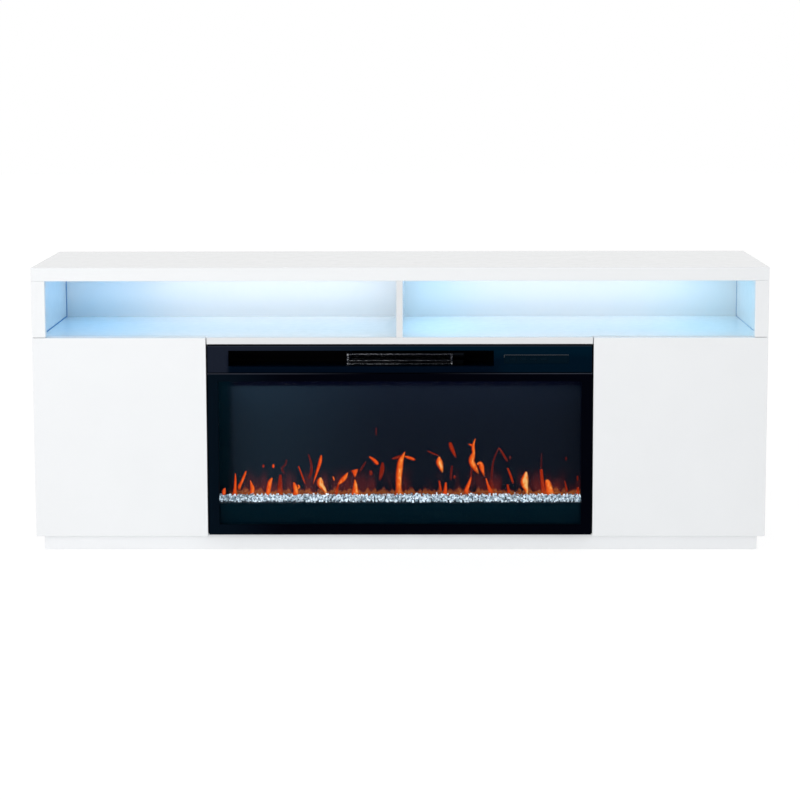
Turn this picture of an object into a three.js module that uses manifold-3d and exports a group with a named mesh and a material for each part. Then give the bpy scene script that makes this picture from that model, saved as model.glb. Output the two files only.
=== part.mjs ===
// A long media console with an open lit niche, two push-to-open doors and an electric fireplace insert.
// Millimetres. X runs along the width, Y from the front to the back, Z up from the floor.
// The origin is the middle of the footprint, on the floor.

import * as THREE from 'three';
import { RoundedBoxGeometry } from 'three/addons/geometries/RoundedBoxGeometry.js';
import { mergeVertices } from 'three/addons/utils/BufferGeometryUtils.js';
import Module from 'manifold-3d';

const wasm = await Module();
wasm.setup();

// Cabinet sizes.
const overallWidth = 1727;
const overallDepth = 400;
const overallHeight = 677;
const boardThickness = 16;
const topThickness = 32;
const stileWidth = 32;
const frontThickness = 18;
const dividerThickness = 15;
const nicheClearHeight = 133;
const plinthHeight = 36;
const plinthBackSetback = 20;
const boardEase = 1;
const backPanelThickness = 3;
const backPanelRebate = 8;
const cableHoleRadius = 30;
const cableHoleDrop = 70;
const fitGap = 0.3;

// Doors and what seats against them.
const doorWidth = 408;
const doorThickness = 16;
const doorTopGap = 1;
const doorSideGap = 2;
const partitionOverlay = 8;

// Adjustable shelves.
const shelfFrontSetback = 20;
const shelfSideGap = 1;
const shelfTopHeight = 282;
const wireRadius = 1.5;
const wireHoldLength = 9;
const wireHoleDepth = 10;
const wireHolePitch = 32;
const wireHoleRows = 3;
const wireEdgeDistance = 50;

// Cup hinges: the cup sits in the door, the arm and its plate on the side panel.
const hingeEndDistance = 80;
const cupRadius = 17.2;
const cupBoreClearance = 0.3;
const cupWall = 1.2;
const cupDepth = 12.4;
const cupBoreDepth = 13;
const cupEdgeDistance = 22.5;
const cupFlangeWidth = 23;
const cupFlangeLength = 60;
const cupFlangeThickness = 1.2;
const cupScrewSpacing = 48;
const cupScrewRadius = 1.8;
const hingePinRadius = 1.5;
const hingePinDepth = 6;
const armWidth = 14;
const armBackReach = 62;
const armHeight = 10;
const armHumpHeight = 17;
const armHumpReach = 20;
const armNoseWidth = 8;
const armShoulder = 3;
const armEndBevel = 1;
const armDepthScrewReach = 40;
const armSideScrewReach = 52;
const armScrewRadius = 3.5;
const armScrewProud = 1.2;
const plateThickness = 3;
const plateFront = 22;
const plateBack = 58;
const plateHalfWidth = 10;
const plateLap = 1;
const wingFront = 31;
const wingBack = 43;
const wingHalfLength = 25;

// Push latches on the partitions, one behind the free edge of each door.
const latchDrop = 40;
const latchBarrel = 14;
const latchLength = 60;
const latchFrontSetback = 4;
const latchEase = 1;
const latchBaseThickness = 3;
const latchBaseLap = 1;
const latchBaseWidth = 26;
const latchBaseLength = 50;
const plungerRadius = 4;
const plungerLength = 50;
const plungerTipEase = 1;

// LED strips in grooves under the top.
const ledStripLength = 600;
const ledStripWidth = 12;
const ledStripThickness = 2.5;
const ledGrooveDepth = 4;
const ledSetback = 340;
const ledDividerGap = 22;
const ledRightShift = 110;
const ledChip = 5;
const ledChipHeight = 1;
const ledPitch = 30;

// Fireplace insert: the framed front.
const insertGap = 2.5;
const insertFootGap = 3.5;
const insertFaceSetback = 1;
const fasciaHeight = 66.5;
const fasciaSeam = 0.5;
const frameEase = 1.5;
const slotSideMargin = 50;
const slotTopMargin = 13;
const slotPanelGap = 23.5;
const slotHeight = 37.5;
const windowSideBorder = 25;
const windowTopBorder = 19.5;
const windowBottomBorder = 25;
const windowLip = 6;
const glassThickness = 4;
const glassHold = 6;

// Fireplace insert: the control panel and its buttons.
const panelWidth = 152.5;
const panelHeight = 20.5;
const panelRightMargin = 55.5;
const panelTopMargin = 23;
const panelFaceSetback = 1;
const panelPlate = 3;
const panelWall = 1.5;
const panelFlange = 5;
const buttonWidth = 14;
const buttonHeight = 8;
const buttonPitch = 24;
const buttonFirst = 22;
const buttonCount = 4;
const buttonDepth = 8;
const buttonSetback = 0.6;
const buttonRim = 1.2;
const buttonRimThickness = 1;
const buttonEase = 0.8;

// Fireplace insert: the case and what it holds.
const caseSideClearance = 7.5;
const caseTopClearance = 8;
const caseDepth = 132;
const sheet = 1.5;
const intakeSlots = 12;
const intakeSideMargin = 56;
const intakeBar = 14;
const intakeWidth = 4;
const intakeBackMargin = 16;
const tabHeight = 40;
const tabDepth = 40;
const tabSetback = 4;
const tabEndDistance = 58;
const ventRows = 4;
const ventColumns = 5;
const ventWidth = 6;
const ventBar = 16;
const ventRowPitch = 14;
const ventDeckMargin = 6;
const ventMiddleMargin = 15;
const ventSideMargin = 45;
const deckRise = 3;
const deckLip = 6;
const deckSetback = 4;
const trayHeight = 58.5;
const trayDepth = 80;
const traySetback = 1;
const crystalSetback = 3;
const crystalSideMargin = 2;
const crystalBase = 6;
const crystalRise = 6;
const crystalColumns = 56;
const crystalRows = 4;
const crystalColumnTurn = 2.3;
const crystalRowTurn = 4.1;
const crystalSlowColumnTurn = 1.3;
const crystalSlowRowTurn = 2.7;
const screenSetback = 94;
const screenThickness = 3;

// Fireplace insert: the heater and its cross-flow blower.
const heaterWidth = 244;
const heaterDepth = 14;
const heaterSetback = 18;
const heaterTopDrop = 12;
const heaterBar = 3;
const heaterMiddleBar = 2;
const heaterEndPlate = 3;
const heaterUpperFins = 12.5;
const heaterLowerFins = 5.5;
const heaterFinCount = 30;
const heaterFinSheet = 1;
const blowerSetback = 78;
const blowerHeight = 27;
const blowerLength = 226;
const blowerRadius = 20;
const blowerInnerRadius = 14.5;
const bladeCount = 16;
const bladeSheet = 1;
const bladeLean = 0.34;
const discThickness = 2;
const shaftRadius = 3;
const shaftClearance = 0.25;
const bracketGap = 3;
const bracketSheet = 2;
const bracketDepth = 30;
const bracketRise = 10;
const motorRadius = 17;
const motorLength = 34;
const motorFootWidth = 22;

// Fireplace insert: the flame spindle behind the screen, and the cord inlet.
const spindleSetback = 114;
const spindleHeight = 42;
const spindleMotorLength = 24;
const spindleMotorRadius = 12;
const spindleMotorEnd = 30;
const bladeReach = 13;
const tabLength = 40;
const tabSheet = 1;
const tabPitch = 46;
const tabTurn = 1.1;
const glandBodyRadius = 7;
const glandNutRadius = 10;
const glandProud = 12;
const glandInside = 10;
const glandNutLength = 5;
const glandBore = 3.5;
const glandSideMargin = 60;
const glandHeight = 90;

// Counts for the round surfaces, and the overrun that every cut shares.
const roundSides = 20;
const smallSides = 8;
const easeSegments = 1;
const quarterTurn = Math.PI / 2;
const overrun = 1;

// Places that follow from the sizes above.
const frontY = -overallDepth / 2;
const backY = overallDepth / 2;
const halfWidth = overallWidth / 2;
const carcassFrontY = frontY + frontThickness;
const boardBackY = backY - backPanelThickness - fitGap;
const sideInnerX = halfWidth - boardThickness;
const stileInnerX = halfWidth - stileWidth;
const topUnderside = overallHeight - topThickness;
const nicheFloorTop = topUnderside - nicheClearHeight;
const nicheFloorUnderside = nicheFloorTop - boardThickness;
const bottomTop = plinthHeight + boardThickness;
const doorInnerX = halfWidth - doorWidth;
const doorTopZ = nicheFloorTop - doorTopGap;
const doorHeight = doorTopZ - plinthHeight;
const doorBackY = frontY + doorThickness;
const partitionOuterX = doorInnerX + partitionOverlay;
const partitionInnerX = partitionOuterX - boardThickness;
const hingeHeights = [plinthHeight + hingeEndDistance, doorTopZ - hingeEndDistance];
const latchZ = nicheFloorUnderside - latchDrop;
const latchX = partitionOuterX + latchBaseThickness + latchBarrel / 2;

const insertHalfWidth = doorInnerX - insertGap;
const insertTop = nicheFloorUnderside - insertGap;
const insertBottom = plinthHeight + insertFootGap;
const insertFaceY = frontY + insertFaceSetback;
const insertBackY = carcassFrontY - fitGap;
const fasciaBottom = insertTop - fasciaHeight;
const frameTop = fasciaBottom - fasciaSeam;
const caseHalfWidth = partitionInnerX - caseSideClearance;
const caseBottom = bottomTop;
const caseTop = nicheFloorUnderside - caseTopClearance;
const caseBackY = carcassFrontY + caseDepth;
const caseInnerX = caseHalfWidth - sheet;
const caseFloor = caseBottom + sheet;
const deckZ = fasciaBottom + deckRise;
const slotTop = insertTop - slotTopMargin;
const trayTop = caseFloor + trayHeight;
const screenY = carcassFrontY + screenSetback;
const screenBackY = screenY + screenThickness;
const spindleY = carcassFrontY + spindleSetback;
const spindleZ = caseFloor + spindleHeight;
const blowerY = carcassFrontY + blowerSetback;
const blowerZ = deckZ + sheet + blowerHeight;

// Finishes: colour, roughness and metalness.
const glossWhite = [0xf4f6f8, 0.18, 0];
const plainWhite = [0xe9ebec, 0.6, 0];
const blackSteel = [0x0c0d0f, 0.42, 0.5];
const blackGloss = [0x08090b, 0.15, 0.1];
const darkGlass = [0x1a2026, 0.05, 0];
const screenFinish = [0x141c26, 0.3, 0];
const crystalFinish = [0xd9ecff, 0.1, 0];
const zinc = [0xc3c7cb, 0.3, 1];
const aluminium = [0xb9bdc2, 0.35, 1];
const greyPlastic = [0x9a9da1, 0.5, 0];
const blackPlastic = [0x101113, 0.5, 0];
const ledFinish = [0xcfe8ff, 0.4, 0];

// A box between two places on each axis, given in any order.
function block(x, y, z) {
  const spans = [x, y, z];
  const size = spans.map(([from, to]) => Math.abs(to - from));
  const middle = spans.map(([from, to]) => (from + to) / 2);
  return new THREE.BoxGeometry(...size).translate(...middle);
}

// The same box with its edges eased, as a lacquered board has.
function easedBlock(x, y, z, ease) {
  const spans = [x, y, z];
  const size = spans.map(([from, to]) => Math.abs(to - from));
  const middle = spans.map(([from, to]) => (from + to) / 2);
  return new RoundedBoxGeometry(...size, easeSegments, ease).translate(...middle);
}

// A cylinder along one axis, between two places on it.
function rod(axis, radius, from, to, centre, sides = smallSides) {
  const length = Math.abs(to - from);
  const geometry = new THREE.CylinderGeometry(radius, radius, length, sides);
  const middle = (from + to) / 2;
  if (axis === 'x') return geometry.rotateZ(quarterTurn).translate(middle, centre[0], centre[1]);
  if (axis === 'y') return geometry.translate(centre[0], middle, centre[1]);
  return geometry.rotateX(quarterTurn).translate(centre[0], centre[1], middle);
}

// A turned piece: its outline runs from the axis out and back to the axis, and its axis lies along Y.
function turned(outline, centreX, centreZ, sides = roundSides) {
  const points = outline.map(([radius, along]) => new THREE.Vector2(radius, along));
  return new THREE.LatheGeometry(points, sides).translate(centreX, 0, centreZ);
}

// An outline drawn in two axes and drawn out along the third, between two places.
const axisX = new THREE.Vector3(1, 0, 0);
const axisY = new THREE.Vector3(0, 1, 0);
const axisZ = new THREE.Vector3(0, 0, 1);
const outlineBases = {
  x: new THREE.Matrix4().makeBasis(axisY, axisZ, axisX),
  y: new THREE.Matrix4().makeBasis(axisZ, axisX, axisY),
  z: new THREE.Matrix4(),
};
function drawnOut(axis, shape, from, to) {
  const low = Math.min(from, to);
  const options = { depth: Math.abs(to - from), bevelEnabled: false, curveSegments: smallSides };
  const geometry = new THREE.ExtrudeGeometry(shape, options);
  return geometry.translate(0, 0, low).applyMatrix4(outlineBases[axis]);
}

function outline(points) {
  return new THREE.Shape(points.map(([a, b]) => new THREE.Vector2(a, b)));
}

// A folded sheet: the outside line of its section, given a thickness towards its left.
function foldedSheet(points, thickness) {
  const line = points.map(([a, b]) => new THREE.Vector2(a, b));
  const normals = line.slice(1).map((point, index) => {
    const run = point.clone().sub(line[index]).normalize();
    return new THREE.Vector2(-run.y, run.x);
  });
  const inner = line.map((point, index) => {
    const before = normals[Math.max(index - 1, 0)];
    const after = normals[Math.min(index, normals.length - 1)];
    const mitre = before.clone().add(after);
    const reach = 2 * thickness / mitre.lengthSq();
    return point.clone().addScaledVector(mitre, reach);
  });
  return new THREE.Shape([...line, ...inner.reverse()]);
}

function toSolid(geometry) {
  const bare = geometry.clone();
  bare.deleteAttribute('normal');
  bare.deleteAttribute('uv');
  const welded = mergeVertices(bare);
  const triVerts = new Uint32Array(welded.index.array);
  const vertProperties = new Float32Array(welded.attributes.position.array);
  return new wasm.Manifold(new wasm.Mesh({ numProp: 3, vertProperties, triVerts }));
}

function toGeometry(solid) {
  const mesh = solid.getMesh();
  const geometry = new THREE.BufferGeometry();
  geometry.setAttribute('position', new THREE.BufferAttribute(new Float32Array(mesh.vertProperties), 3));
  geometry.setIndex(new THREE.BufferAttribute(new Uint32Array(mesh.triVerts), 1));
  const faceted = geometry.toNonIndexed();
  faceted.computeVertexNormals();
  return faceted;
}

function cut(base, tools) {
  return toGeometry(tools.reduce((solid, tool) => solid.subtract(toSolid(tool)), toSolid(base)));
}

function join(pieces) {
  const [first, ...rest] = pieces.map(toSolid);
  return toGeometry(rest.reduce((solid, piece) => solid.add(piece), first));
}

const stand = new THREE.Group();
const cabinet = new THREE.Group();
const insert = new THREE.Group();
stand.add(cabinet, insert);

function add(parent, name, geometry, [color, roughness, metalness]) {
  const mesh = new THREE.Mesh(geometry, new THREE.MeshStandardMaterial({ color, roughness, metalness }));
  mesh.name = name;
  parent.add(mesh);
}

const sides = [
  { name: 'left', sign: -1 },
  { name: 'right', sign: 1 },
];

// Top board, with a groove in its underside for each LED strip.
function ledStart(sign) {
  return sign < 0 ? ledDividerGap : ledDividerGap + ledRightShift;
}

function ledGroove(sign) {
  const start = sign * (ledStart(sign) - fitGap);
  const end = sign * (ledStart(sign) + ledStripLength + fitGap);
  const front = frontY + ledSetback - fitGap;
  const back = frontY + ledSetback + ledStripWidth + fitGap;
  return block([start, end], [front, back], [topUnderside - overrun, topUnderside + ledGrooveDepth]);
}

function topBoard() {
  const x = [-halfWidth, halfWidth];
  const slab = easedBlock(x, [frontY, backY], [topUnderside, overallHeight], boardEase);
  return cut(slab, sides.map(({ sign }) => ledGroove(sign)));
}
add(cabinet, 'top_board', topBoard(), glossWhite);

// An LED strip is a thin carrier with a row of chips along its underside.
function ledStrip(sign) {
  const start = ledStart(sign);
  const front = frontY + ledSetback;
  const middle = front + ledStripWidth / 2;
  const top = topUnderside + ledGrooveDepth - fitGap;
  const bottom = top - ledStripThickness;
  const x = [sign * start, sign * (start + ledStripLength)];
  const pieces = [block(x, [front, front + ledStripWidth], [bottom, top])];
  for (let along = ledPitch / 2; along < ledStripLength; along += ledPitch) {
    const centre = sign * (start + along);
    const chipX = [centre - ledChip / 2, centre + ledChip / 2];
    const chipY = [middle - ledChip / 2, middle + ledChip / 2];
    pieces.push(block(chipX, chipY, [bottom - ledChipHeight, bottom + ledStripThickness / 2]));
  }
  return join(pieces);
}
for (const { name, sign } of sides) add(cabinet, `led_strip_${name}`, ledStrip(sign), ledFinish);

// Rows of holes for the shelf wires, one column near the front and one near the back.
const shelfUnderside = shelfTopHeight - boardThickness;
const wireZ = (shelfUnderside + shelfTopHeight) / 2;
const wireColumns = [carcassFrontY + wireEdgeDistance, boardBackY - wireEdgeDistance];

function wireHoles(faceX, inward) {
  const holes = [];
  for (const y of wireColumns) {
    for (let row = 0; row < wireHoleRows; row += 1) {
      const z = wireZ + (row - (wireHoleRows - 1) / 2) * wireHolePitch;
      const from = faceX - inward * wireHoleDepth;
      holes.push(rod('x', wireRadius + fitGap, from, faceX + inward * overrun, [y, z]));
    }
  }
  return holes;
}

// A shelf wire runs along the panel and turns into a hole at each end. The shelf's groove rests on it.
function shelfWire(faceX, inward) {
  const line = faceX + inward * (fitGap + wireRadius);
  const run = rod('y', wireRadius, wireColumns[0] - wireRadius, wireColumns[1] + wireRadius, [line, wireZ]);
  const ends = wireColumns.map((y) => (
    rod('x', wireRadius, faceX - inward * wireHoldLength, line + inward * wireRadius, [y, wireZ])));
  return join([run, ...ends]);
}

function shelf(sign) {
  const edges = [
    { panel: sign * partitionOuterX, inward: sign },
    { panel: sign * sideInnerX, inward: -sign },
  ];
  const x = edges.map(({ panel, inward }) => panel + inward * shelfSideGap);
  const y = [carcassFrontY + shelfFrontSetback, boardBackY - fitGap];
  const grooves = edges.map(({ panel, inward }) => {
    const grooveX = [panel - inward * overrun, panel + inward * (wireRadius * 2 + fitGap * 2)];
    const grooveY = [wireColumns[0] - wireRadius - fitGap, backY];
    return block(grooveX, grooveY, [wireZ - wireRadius - fitGap, wireZ + wireRadius + fitGap]);
  });
  return cut(block(x, y, [shelfUnderside, shelfTopHeight]), grooves);
}

// Side panels stand between the plinth's height and the top, rebated at the back for the back panels.
function sidePanel(sign) {
  const x = [sign * sideInnerX, sign * halfWidth];
  const panel = block(x, [carcassFrontY, backY], [plinthHeight, topUnderside]);
  const rebateX = [sign * (sideInnerX - overrun), sign * (sideInnerX + backPanelRebate)];
  const rebateZ = [plinthHeight - overrun, topUnderside + overrun];
  const rebate = block(rebateX, [boardBackY, backY + overrun], rebateZ);
  return cut(panel, [rebate, ...wireHoles(sign * sideInnerX, -sign)]);
}
for (const { name, sign } of sides) add(cabinet, `side_panel_${name}`, sidePanel(sign), glossWhite);

const betweenSides = [-sideInnerX, sideInnerX];
const boardDepth = [carcassFrontY, boardBackY];
const frontZone = [frontY, carcassFrontY];
const bottomZ = [plinthHeight, bottomTop];
const nicheFloorZ = [nicheFloorUnderside, nicheFloorTop];
add(cabinet, 'bottom_board', block(betweenSides, boardDepth, bottomZ), plainWhite);
add(cabinet, 'niche_floor', block(betweenSides, boardDepth, nicheFloorZ), glossWhite);

const dividerX = [-dividerThickness / 2, dividerThickness / 2];
const nicheZ = [nicheFloorTop, topUnderside];
add(cabinet, 'niche_divider', block(dividerX, [frontY, boardBackY], nicheZ), glossWhite);

for (const { name, sign } of sides) {
  const x = [sign * stileInnerX, sign * halfWidth];
  add(cabinet, `front_stile_${name}`, easedBlock(x, frontZone, nicheZ, boardEase), glossWhite);
}

const railX = doorInnerX - doorSideGap;
const centreRail = easedBlock([-railX, railX], frontZone, nicheFloorZ, boardEase);
add(cabinet, 'centre_rail', centreRail, glossWhite);

for (const { name, sign } of sides) {
  const x = [sign * partitionInnerX, sign * partitionOuterX];
  const panel = block(x, boardDepth, [bottomTop, nicheFloorUnderside]);
  add(cabinet, `partition_${name}`, cut(panel, wireHoles(sign * partitionOuterX, sign)), plainWhite);
}

// The plinth is a frame of four boards, its ends in line with the inside of the side panels.
const plinthZ = [0, plinthHeight];
const plinthFrontBack = carcassFrontY + boardThickness;
const plinthRearBack = backY - plinthBackSetback;
const plinthRearFront = plinthRearBack - boardThickness;
add(cabinet, 'plinth_front', block(betweenSides, [carcassFrontY, plinthFrontBack], plinthZ), glossWhite);
add(cabinet, 'plinth_back', block(betweenSides, [plinthRearFront, plinthRearBack], plinthZ), plainWhite);
for (const { name, sign } of sides) {
  const x = [sign * (sideInnerX - boardThickness), sign * sideInnerX];
  add(cabinet, `plinth_end_${name}`, block(x, [plinthFrontBack, plinthRearFront], plinthZ), glossWhite);
}

// Back panels lie in the rebates and lap the edges of the boards. The middle stays open behind the insert.
const panelDepth = [backY - backPanelThickness, backY];
const panelReach = sideInnerX + backPanelRebate - fitGap;
const lapZ = nicheFloorUnderside + boardThickness / 2;
const upperPanelZ = [lapZ + fitGap, topUnderside - fitGap];
add(cabinet, 'back_panel_niche', block([-panelReach, panelReach], panelDepth, upperPanelZ), plainWhite);

function lowerBackPanel(sign) {
  const innerX = partitionInnerX + boardThickness / 2;
  const z = [plinthHeight + fitGap, lapZ - fitGap];
  const panel = block([sign * innerX, sign * panelReach], panelDepth, z);
  const holeX = sign * (partitionOuterX + sideInnerX) / 2;
  const holeZ = nicheFloorUnderside - cableHoleDrop;
  const through = [backY - backPanelThickness - overrun, backY + overrun];
  return cut(panel, [rod('y', cableHoleRadius, ...through, [holeX, holeZ], roundSides)]);
}
for (const { name, sign } of sides) add(cabinet, `back_panel_${name}`, lowerBackPanel(sign), plainWhite);

for (const { name, sign } of sides) {
  add(cabinet, `shelf_${name}`, shelf(sign), plainWhite);
  add(cabinet, `shelf_wire_${name}_inner`, shelfWire(sign * partitionOuterX, sign), zinc);
  add(cabinet, `shelf_wire_${name}_outer`, shelfWire(sign * sideInnerX, -sign), zinc);
}

// Hinge arm: a pressed arm over a wing plate. Its nose bends into the cup and stops at the cup's pin.
function hingeArm(sign, z) {
  const across = (depth) => sign * (sideInnerX - depth);
  const along = (reach) => carcassFrontY + reach;
  const cupCentre = cupEdgeDistance - boardThickness;
  const noseTip = doorBackY - hingePinDepth + hingePinRadius + fitGap - carcassFrontY;
  const noseFrom = cupCentre - armNoseWidth / 2;
  const noseTo = cupCentre + armNoseWidth / 2;
  const armTop = plateThickness + armHeight;
  const points = [
    [across(plateThickness), along(armBackReach)],
    [across(armTop), along(armBackReach - armEndBevel)],
    [across(armTop), along(armHumpReach + armHeight)],
    [across(armHumpHeight), along(armHumpReach)],
    [across(armHumpHeight), along(armShoulder)],
    [across(noseTo), along(-armShoulder)],
    [across(noseTo), along(noseTip)],
    [across(noseFrom), along(noseTip)],
    [across(noseFrom), along(armShoulder)],
    [across(plateThickness), along(armHumpReach)],
  ];
  const arm = drawnOut('z', outline(points), z - armWidth / 2, z + armWidth / 2);
  const footSpan = [across(0), across(plateThickness + plateLap)];
  const footZ = [z - plateHalfWidth, z + plateHalfWidth];
  const foot = block(footSpan, [along(plateFront), along(plateBack)], footZ);
  const wingSpan = [across(0), across(plateThickness)];
  const wingZ = [z - wingHalfLength, z + wingHalfLength];
  const wings = block(wingSpan, [along(wingFront), along(wingBack)], wingZ);
  const wingY = along((wingFront + wingBack) / 2);
  const screwTop = across(plateThickness + armScrewProud);
  const screwOffset = wingHalfLength - armScrewRadius - armScrewProud;
  const screws = [z - screwOffset, z + screwOffset].map((screwZ) => (
    rod('x', armScrewRadius, across(plateThickness / 2), screwTop, [wingY, screwZ])));
  const capTop = across(armTop + armScrewProud);
  const caps = [armDepthScrewReach, armSideScrewReach].map((reach) => (
    rod('x', armScrewRadius, across(armTop / 2), capTop, [along(reach), z])));
  return join([arm, foot, wings, ...screws, ...caps]);
}

// Doors hang from the line of their outer front edge, where the hinge's links turn them.
function doorBoard(sign) {
  const x = [0, -sign * doorWidth];
  const slab = easedBlock(x, [0, doorThickness], [0, doorHeight], boardEase);
  const bores = hingeHeights.map((height) => {
    const centre = [-sign * cupEdgeDistance, height - plinthHeight];
    const from = doorThickness - cupBoreDepth;
    return rod('y', cupRadius + cupBoreClearance, from, doorThickness + overrun, centre, roundSides);
  });
  return cut(slab, bores);
}

function hingeCup(sign, height) {
  const x = -sign * cupEdgeDistance;
  const z = height - plinthHeight;
  const face = doorThickness + cupFlangeThickness;
  const floorY = doorThickness - cupDepth;
  const body = rod('y', cupRadius, floorY, face, [x, z], roundSides);
  const flangeX = [x - cupFlangeWidth / 2, x + cupFlangeWidth / 2];
  const flangeZ = [z - cupFlangeLength / 2, z + cupFlangeLength / 2];
  const flange = easedBlock(flangeX, [doorThickness, face], flangeZ, cupFlangeThickness / 4);
  const hollow = rod('y', cupRadius - cupWall, floorY + cupWall, face + overrun, [x, z], roundSides);
  const screwHoles = [z - cupScrewSpacing / 2, z + cupScrewSpacing / 2].map((screwZ) => (
    rod('y', cupScrewRadius, doorThickness - overrun, face + overrun, [x, screwZ])));
  const shell = cut(join([body, flange]), [hollow, ...screwHoles]);
  const pinHalf = cupRadius - cupWall / 2;
  const pin = rod('z', hingePinRadius, z - pinHalf, z + pinHalf, [x, doorThickness - hingePinDepth]);
  return join([shell, pin]);
}

// Push latch: a barrel on a screwed base, bored for the plunger that pushes the door open.
function latchBody(sign) {
  const front = carcassFrontY + latchFrontSetback;
  const back = front + latchLength;
  const centreX = sign * latchX;
  const x = [centreX - latchBarrel / 2, centreX + latchBarrel / 2];
  const z = [latchZ - latchBarrel / 2, latchZ + latchBarrel / 2];
  const barrel = easedBlock(x, [front, back], z, latchEase);
  const baseX = [sign * partitionOuterX, sign * (partitionOuterX + latchBaseThickness + latchBaseLap)];
  const baseY = [back - latchBaseLength, back];
  const baseZ = [latchZ - latchBaseWidth / 2, latchZ + latchBaseWidth / 2];
  const base = block(baseX, baseY, baseZ);
  const boreBack = doorBackY + fitGap + plungerLength + overrun;
  const bore = rod('y', plungerRadius + fitGap, front - overrun, boreBack, [centreX, latchZ], smallSides);
  return cut(join([barrel, base]), [bore]);
}

function plunger(sign) {
  const front = doorBackY + fitGap;
  const back = front + plungerLength;
  const shape = [
    [0, front],
    [plungerRadius - plungerTipEase, front],
    [plungerRadius, front + plungerTipEase],
    [plungerRadius, back],
    [0, back],
  ];
  return turned(shape, sign * latchX, latchZ, smallSides);
}

for (const { name, sign } of sides) {
  const door = new THREE.Group();
  door.position.set(sign * halfWidth, frontY, plinthHeight);
  stand.add(door);
  add(door, `door_${name}`, doorBoard(sign), glossWhite);
  hingeHeights.forEach((height, index) => {
    const place = ['lower', 'upper'][index];
    add(door, `hinge_cup_${name}_${place}`, hingeCup(sign, height), zinc);
    add(cabinet, `hinge_arm_${name}_${place}`, hingeArm(sign, height), zinc);
  });
  add(cabinet, `latch_body_${name}`, latchBody(sign), greyPlastic);
  add(cabinet, `latch_plunger_${name}`, plunger(sign), greyPlastic);
}

// The insert's fascia, with the long air slot and the window of the control panel.
const insertX = [-insertHalfWidth, insertHalfWidth];
const faceDepth = [insertFaceY, insertBackY];
const throughFace = [insertFaceY - overrun, insertBackY + overrun];
const panelX = [insertHalfWidth - panelRightMargin - panelWidth, insertHalfWidth - panelRightMargin];
const slotX = [-insertHalfWidth + slotSideMargin, panelX[0] - slotPanelGap];
const slotZ = [slotTop - slotHeight, slotTop];
const panelZ = [insertTop - panelTopMargin - panelHeight, insertTop - panelTopMargin];

function fascia() {
  const bar = easedBlock(insertX, faceDepth, [fasciaBottom, insertTop], frameEase);
  return cut(bar, [block(slotX, throughFace, slotZ), block(panelX, throughFace, panelZ)]);
}
add(insert, 'fascia', fascia(), blackSteel);

// The glass frame, with a lip in front and a rebate behind that holds the pane.
const windowX = insertHalfWidth - windowSideBorder;
const windowZ = [insertBottom + windowBottomBorder, frameTop - windowTopBorder];
const rebateFrontY = insertFaceY + windowLip;

function glassFrame() {
  const slab = easedBlock(insertX, faceDepth, [insertBottom, frameTop], frameEase);
  const sight = block([-windowX, windowX], throughFace, windowZ);
  const rebateX = windowX + glassHold;
  const rebateZ = [windowZ[0] - glassHold, windowZ[1] + glassHold];
  const rebate = block([-rebateX, rebateX], [rebateFrontY, insertBackY + overrun], rebateZ);
  return cut(slab, [sight, rebate]);
}
add(insert, 'glass_frame', glassFrame(), blackSteel);

const glassX = windowX + glassHold - fitGap;
const glassY = [rebateFrontY + fitGap, rebateFrontY + fitGap + glassThickness];
const glassZ = [windowZ[0] - glassHold + fitGap, windowZ[1] + glassHold - fitGap];
add(insert, 'front_glass', block([-glassX, glassX], glassY, glassZ), darkGlass);

// The control panel is a tray behind the fascia, with a hole for each button.
const panelFaceY = insertFaceY + panelFaceSetback;
const panelMidZ = (panelZ[0] + panelZ[1]) / 2;

function buttonCentre(index) {
  return panelX[0] + buttonFirst + index * buttonPitch;
}

function buttonBlock(index, width, height, y, ease) {
  const x = buttonCentre(index);
  const spanX = [x - width / 2, x + width / 2];
  const spanZ = [panelMidZ - height / 2, panelMidZ + height / 2];
  return ease ? easedBlock(spanX, y, spanZ, ease) : block(spanX, y, spanZ);
}

function controlPanel() {
  const inside = (span, gap) => [span[0] + gap, span[1] - gap];
  const outer = block(inside(panelX, fitGap), [panelFaceY, carcassFrontY + sheet], inside(panelZ, fitGap));
  const hollowX = inside(panelX, fitGap + panelWall);
  const hollowZ = inside(panelZ, fitGap + panelWall);
  const hollow = block(hollowX, [panelFaceY + panelPlate, carcassFrontY + sheet + overrun], hollowZ);
  const flangeY = [carcassFrontY, carcassFrontY + sheet];
  const flange = block(inside(panelX, -panelFlange), flangeY, inside(panelZ, -panelFlange));
  const through = [panelFaceY - overrun, panelFaceY + panelPlate + overrun];
  const holes = [];
  for (let index = 0; index < buttonCount; index += 1) {
    holes.push(buttonBlock(index, buttonWidth + 2 * fitGap, buttonHeight + 2 * fitGap, through, 0));
  }
  return cut(join([outer, flange]), [hollow, ...holes]);
}
add(insert, 'control_panel', controlPanel(), blackGloss);

// Each button passes through the panel and carries a rim behind it, a press away from its stop.
function button(index) {
  const front = panelFaceY - buttonSetback;
  const cap = buttonBlock(index, buttonWidth, buttonHeight, [front, front + buttonDepth], buttonEase);
  const rimY = panelFaceY + panelPlate + fitGap;
  const rimSpan = [rimY, rimY + buttonRimThickness];
  const rim = buttonBlock(index, buttonWidth + 2 * buttonRim, buttonHeight + 2 * buttonRim, rimSpan, 0);
  return join([cap, rim]);
}
const buttonNames = ['power', 'flame', 'ember', 'heat'];
for (let index = 0; index < buttonCount; index += 1) {
  add(insert, `button_${buttonNames[index]}`, button(index), blackPlastic);
}

// The case is a wrap of sheet steel, open in front, with intake slots on top and fixing tabs at its sides.
const tabHeights = [caseBottom + tabEndDistance, deckZ - tabEndDistance];

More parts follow.
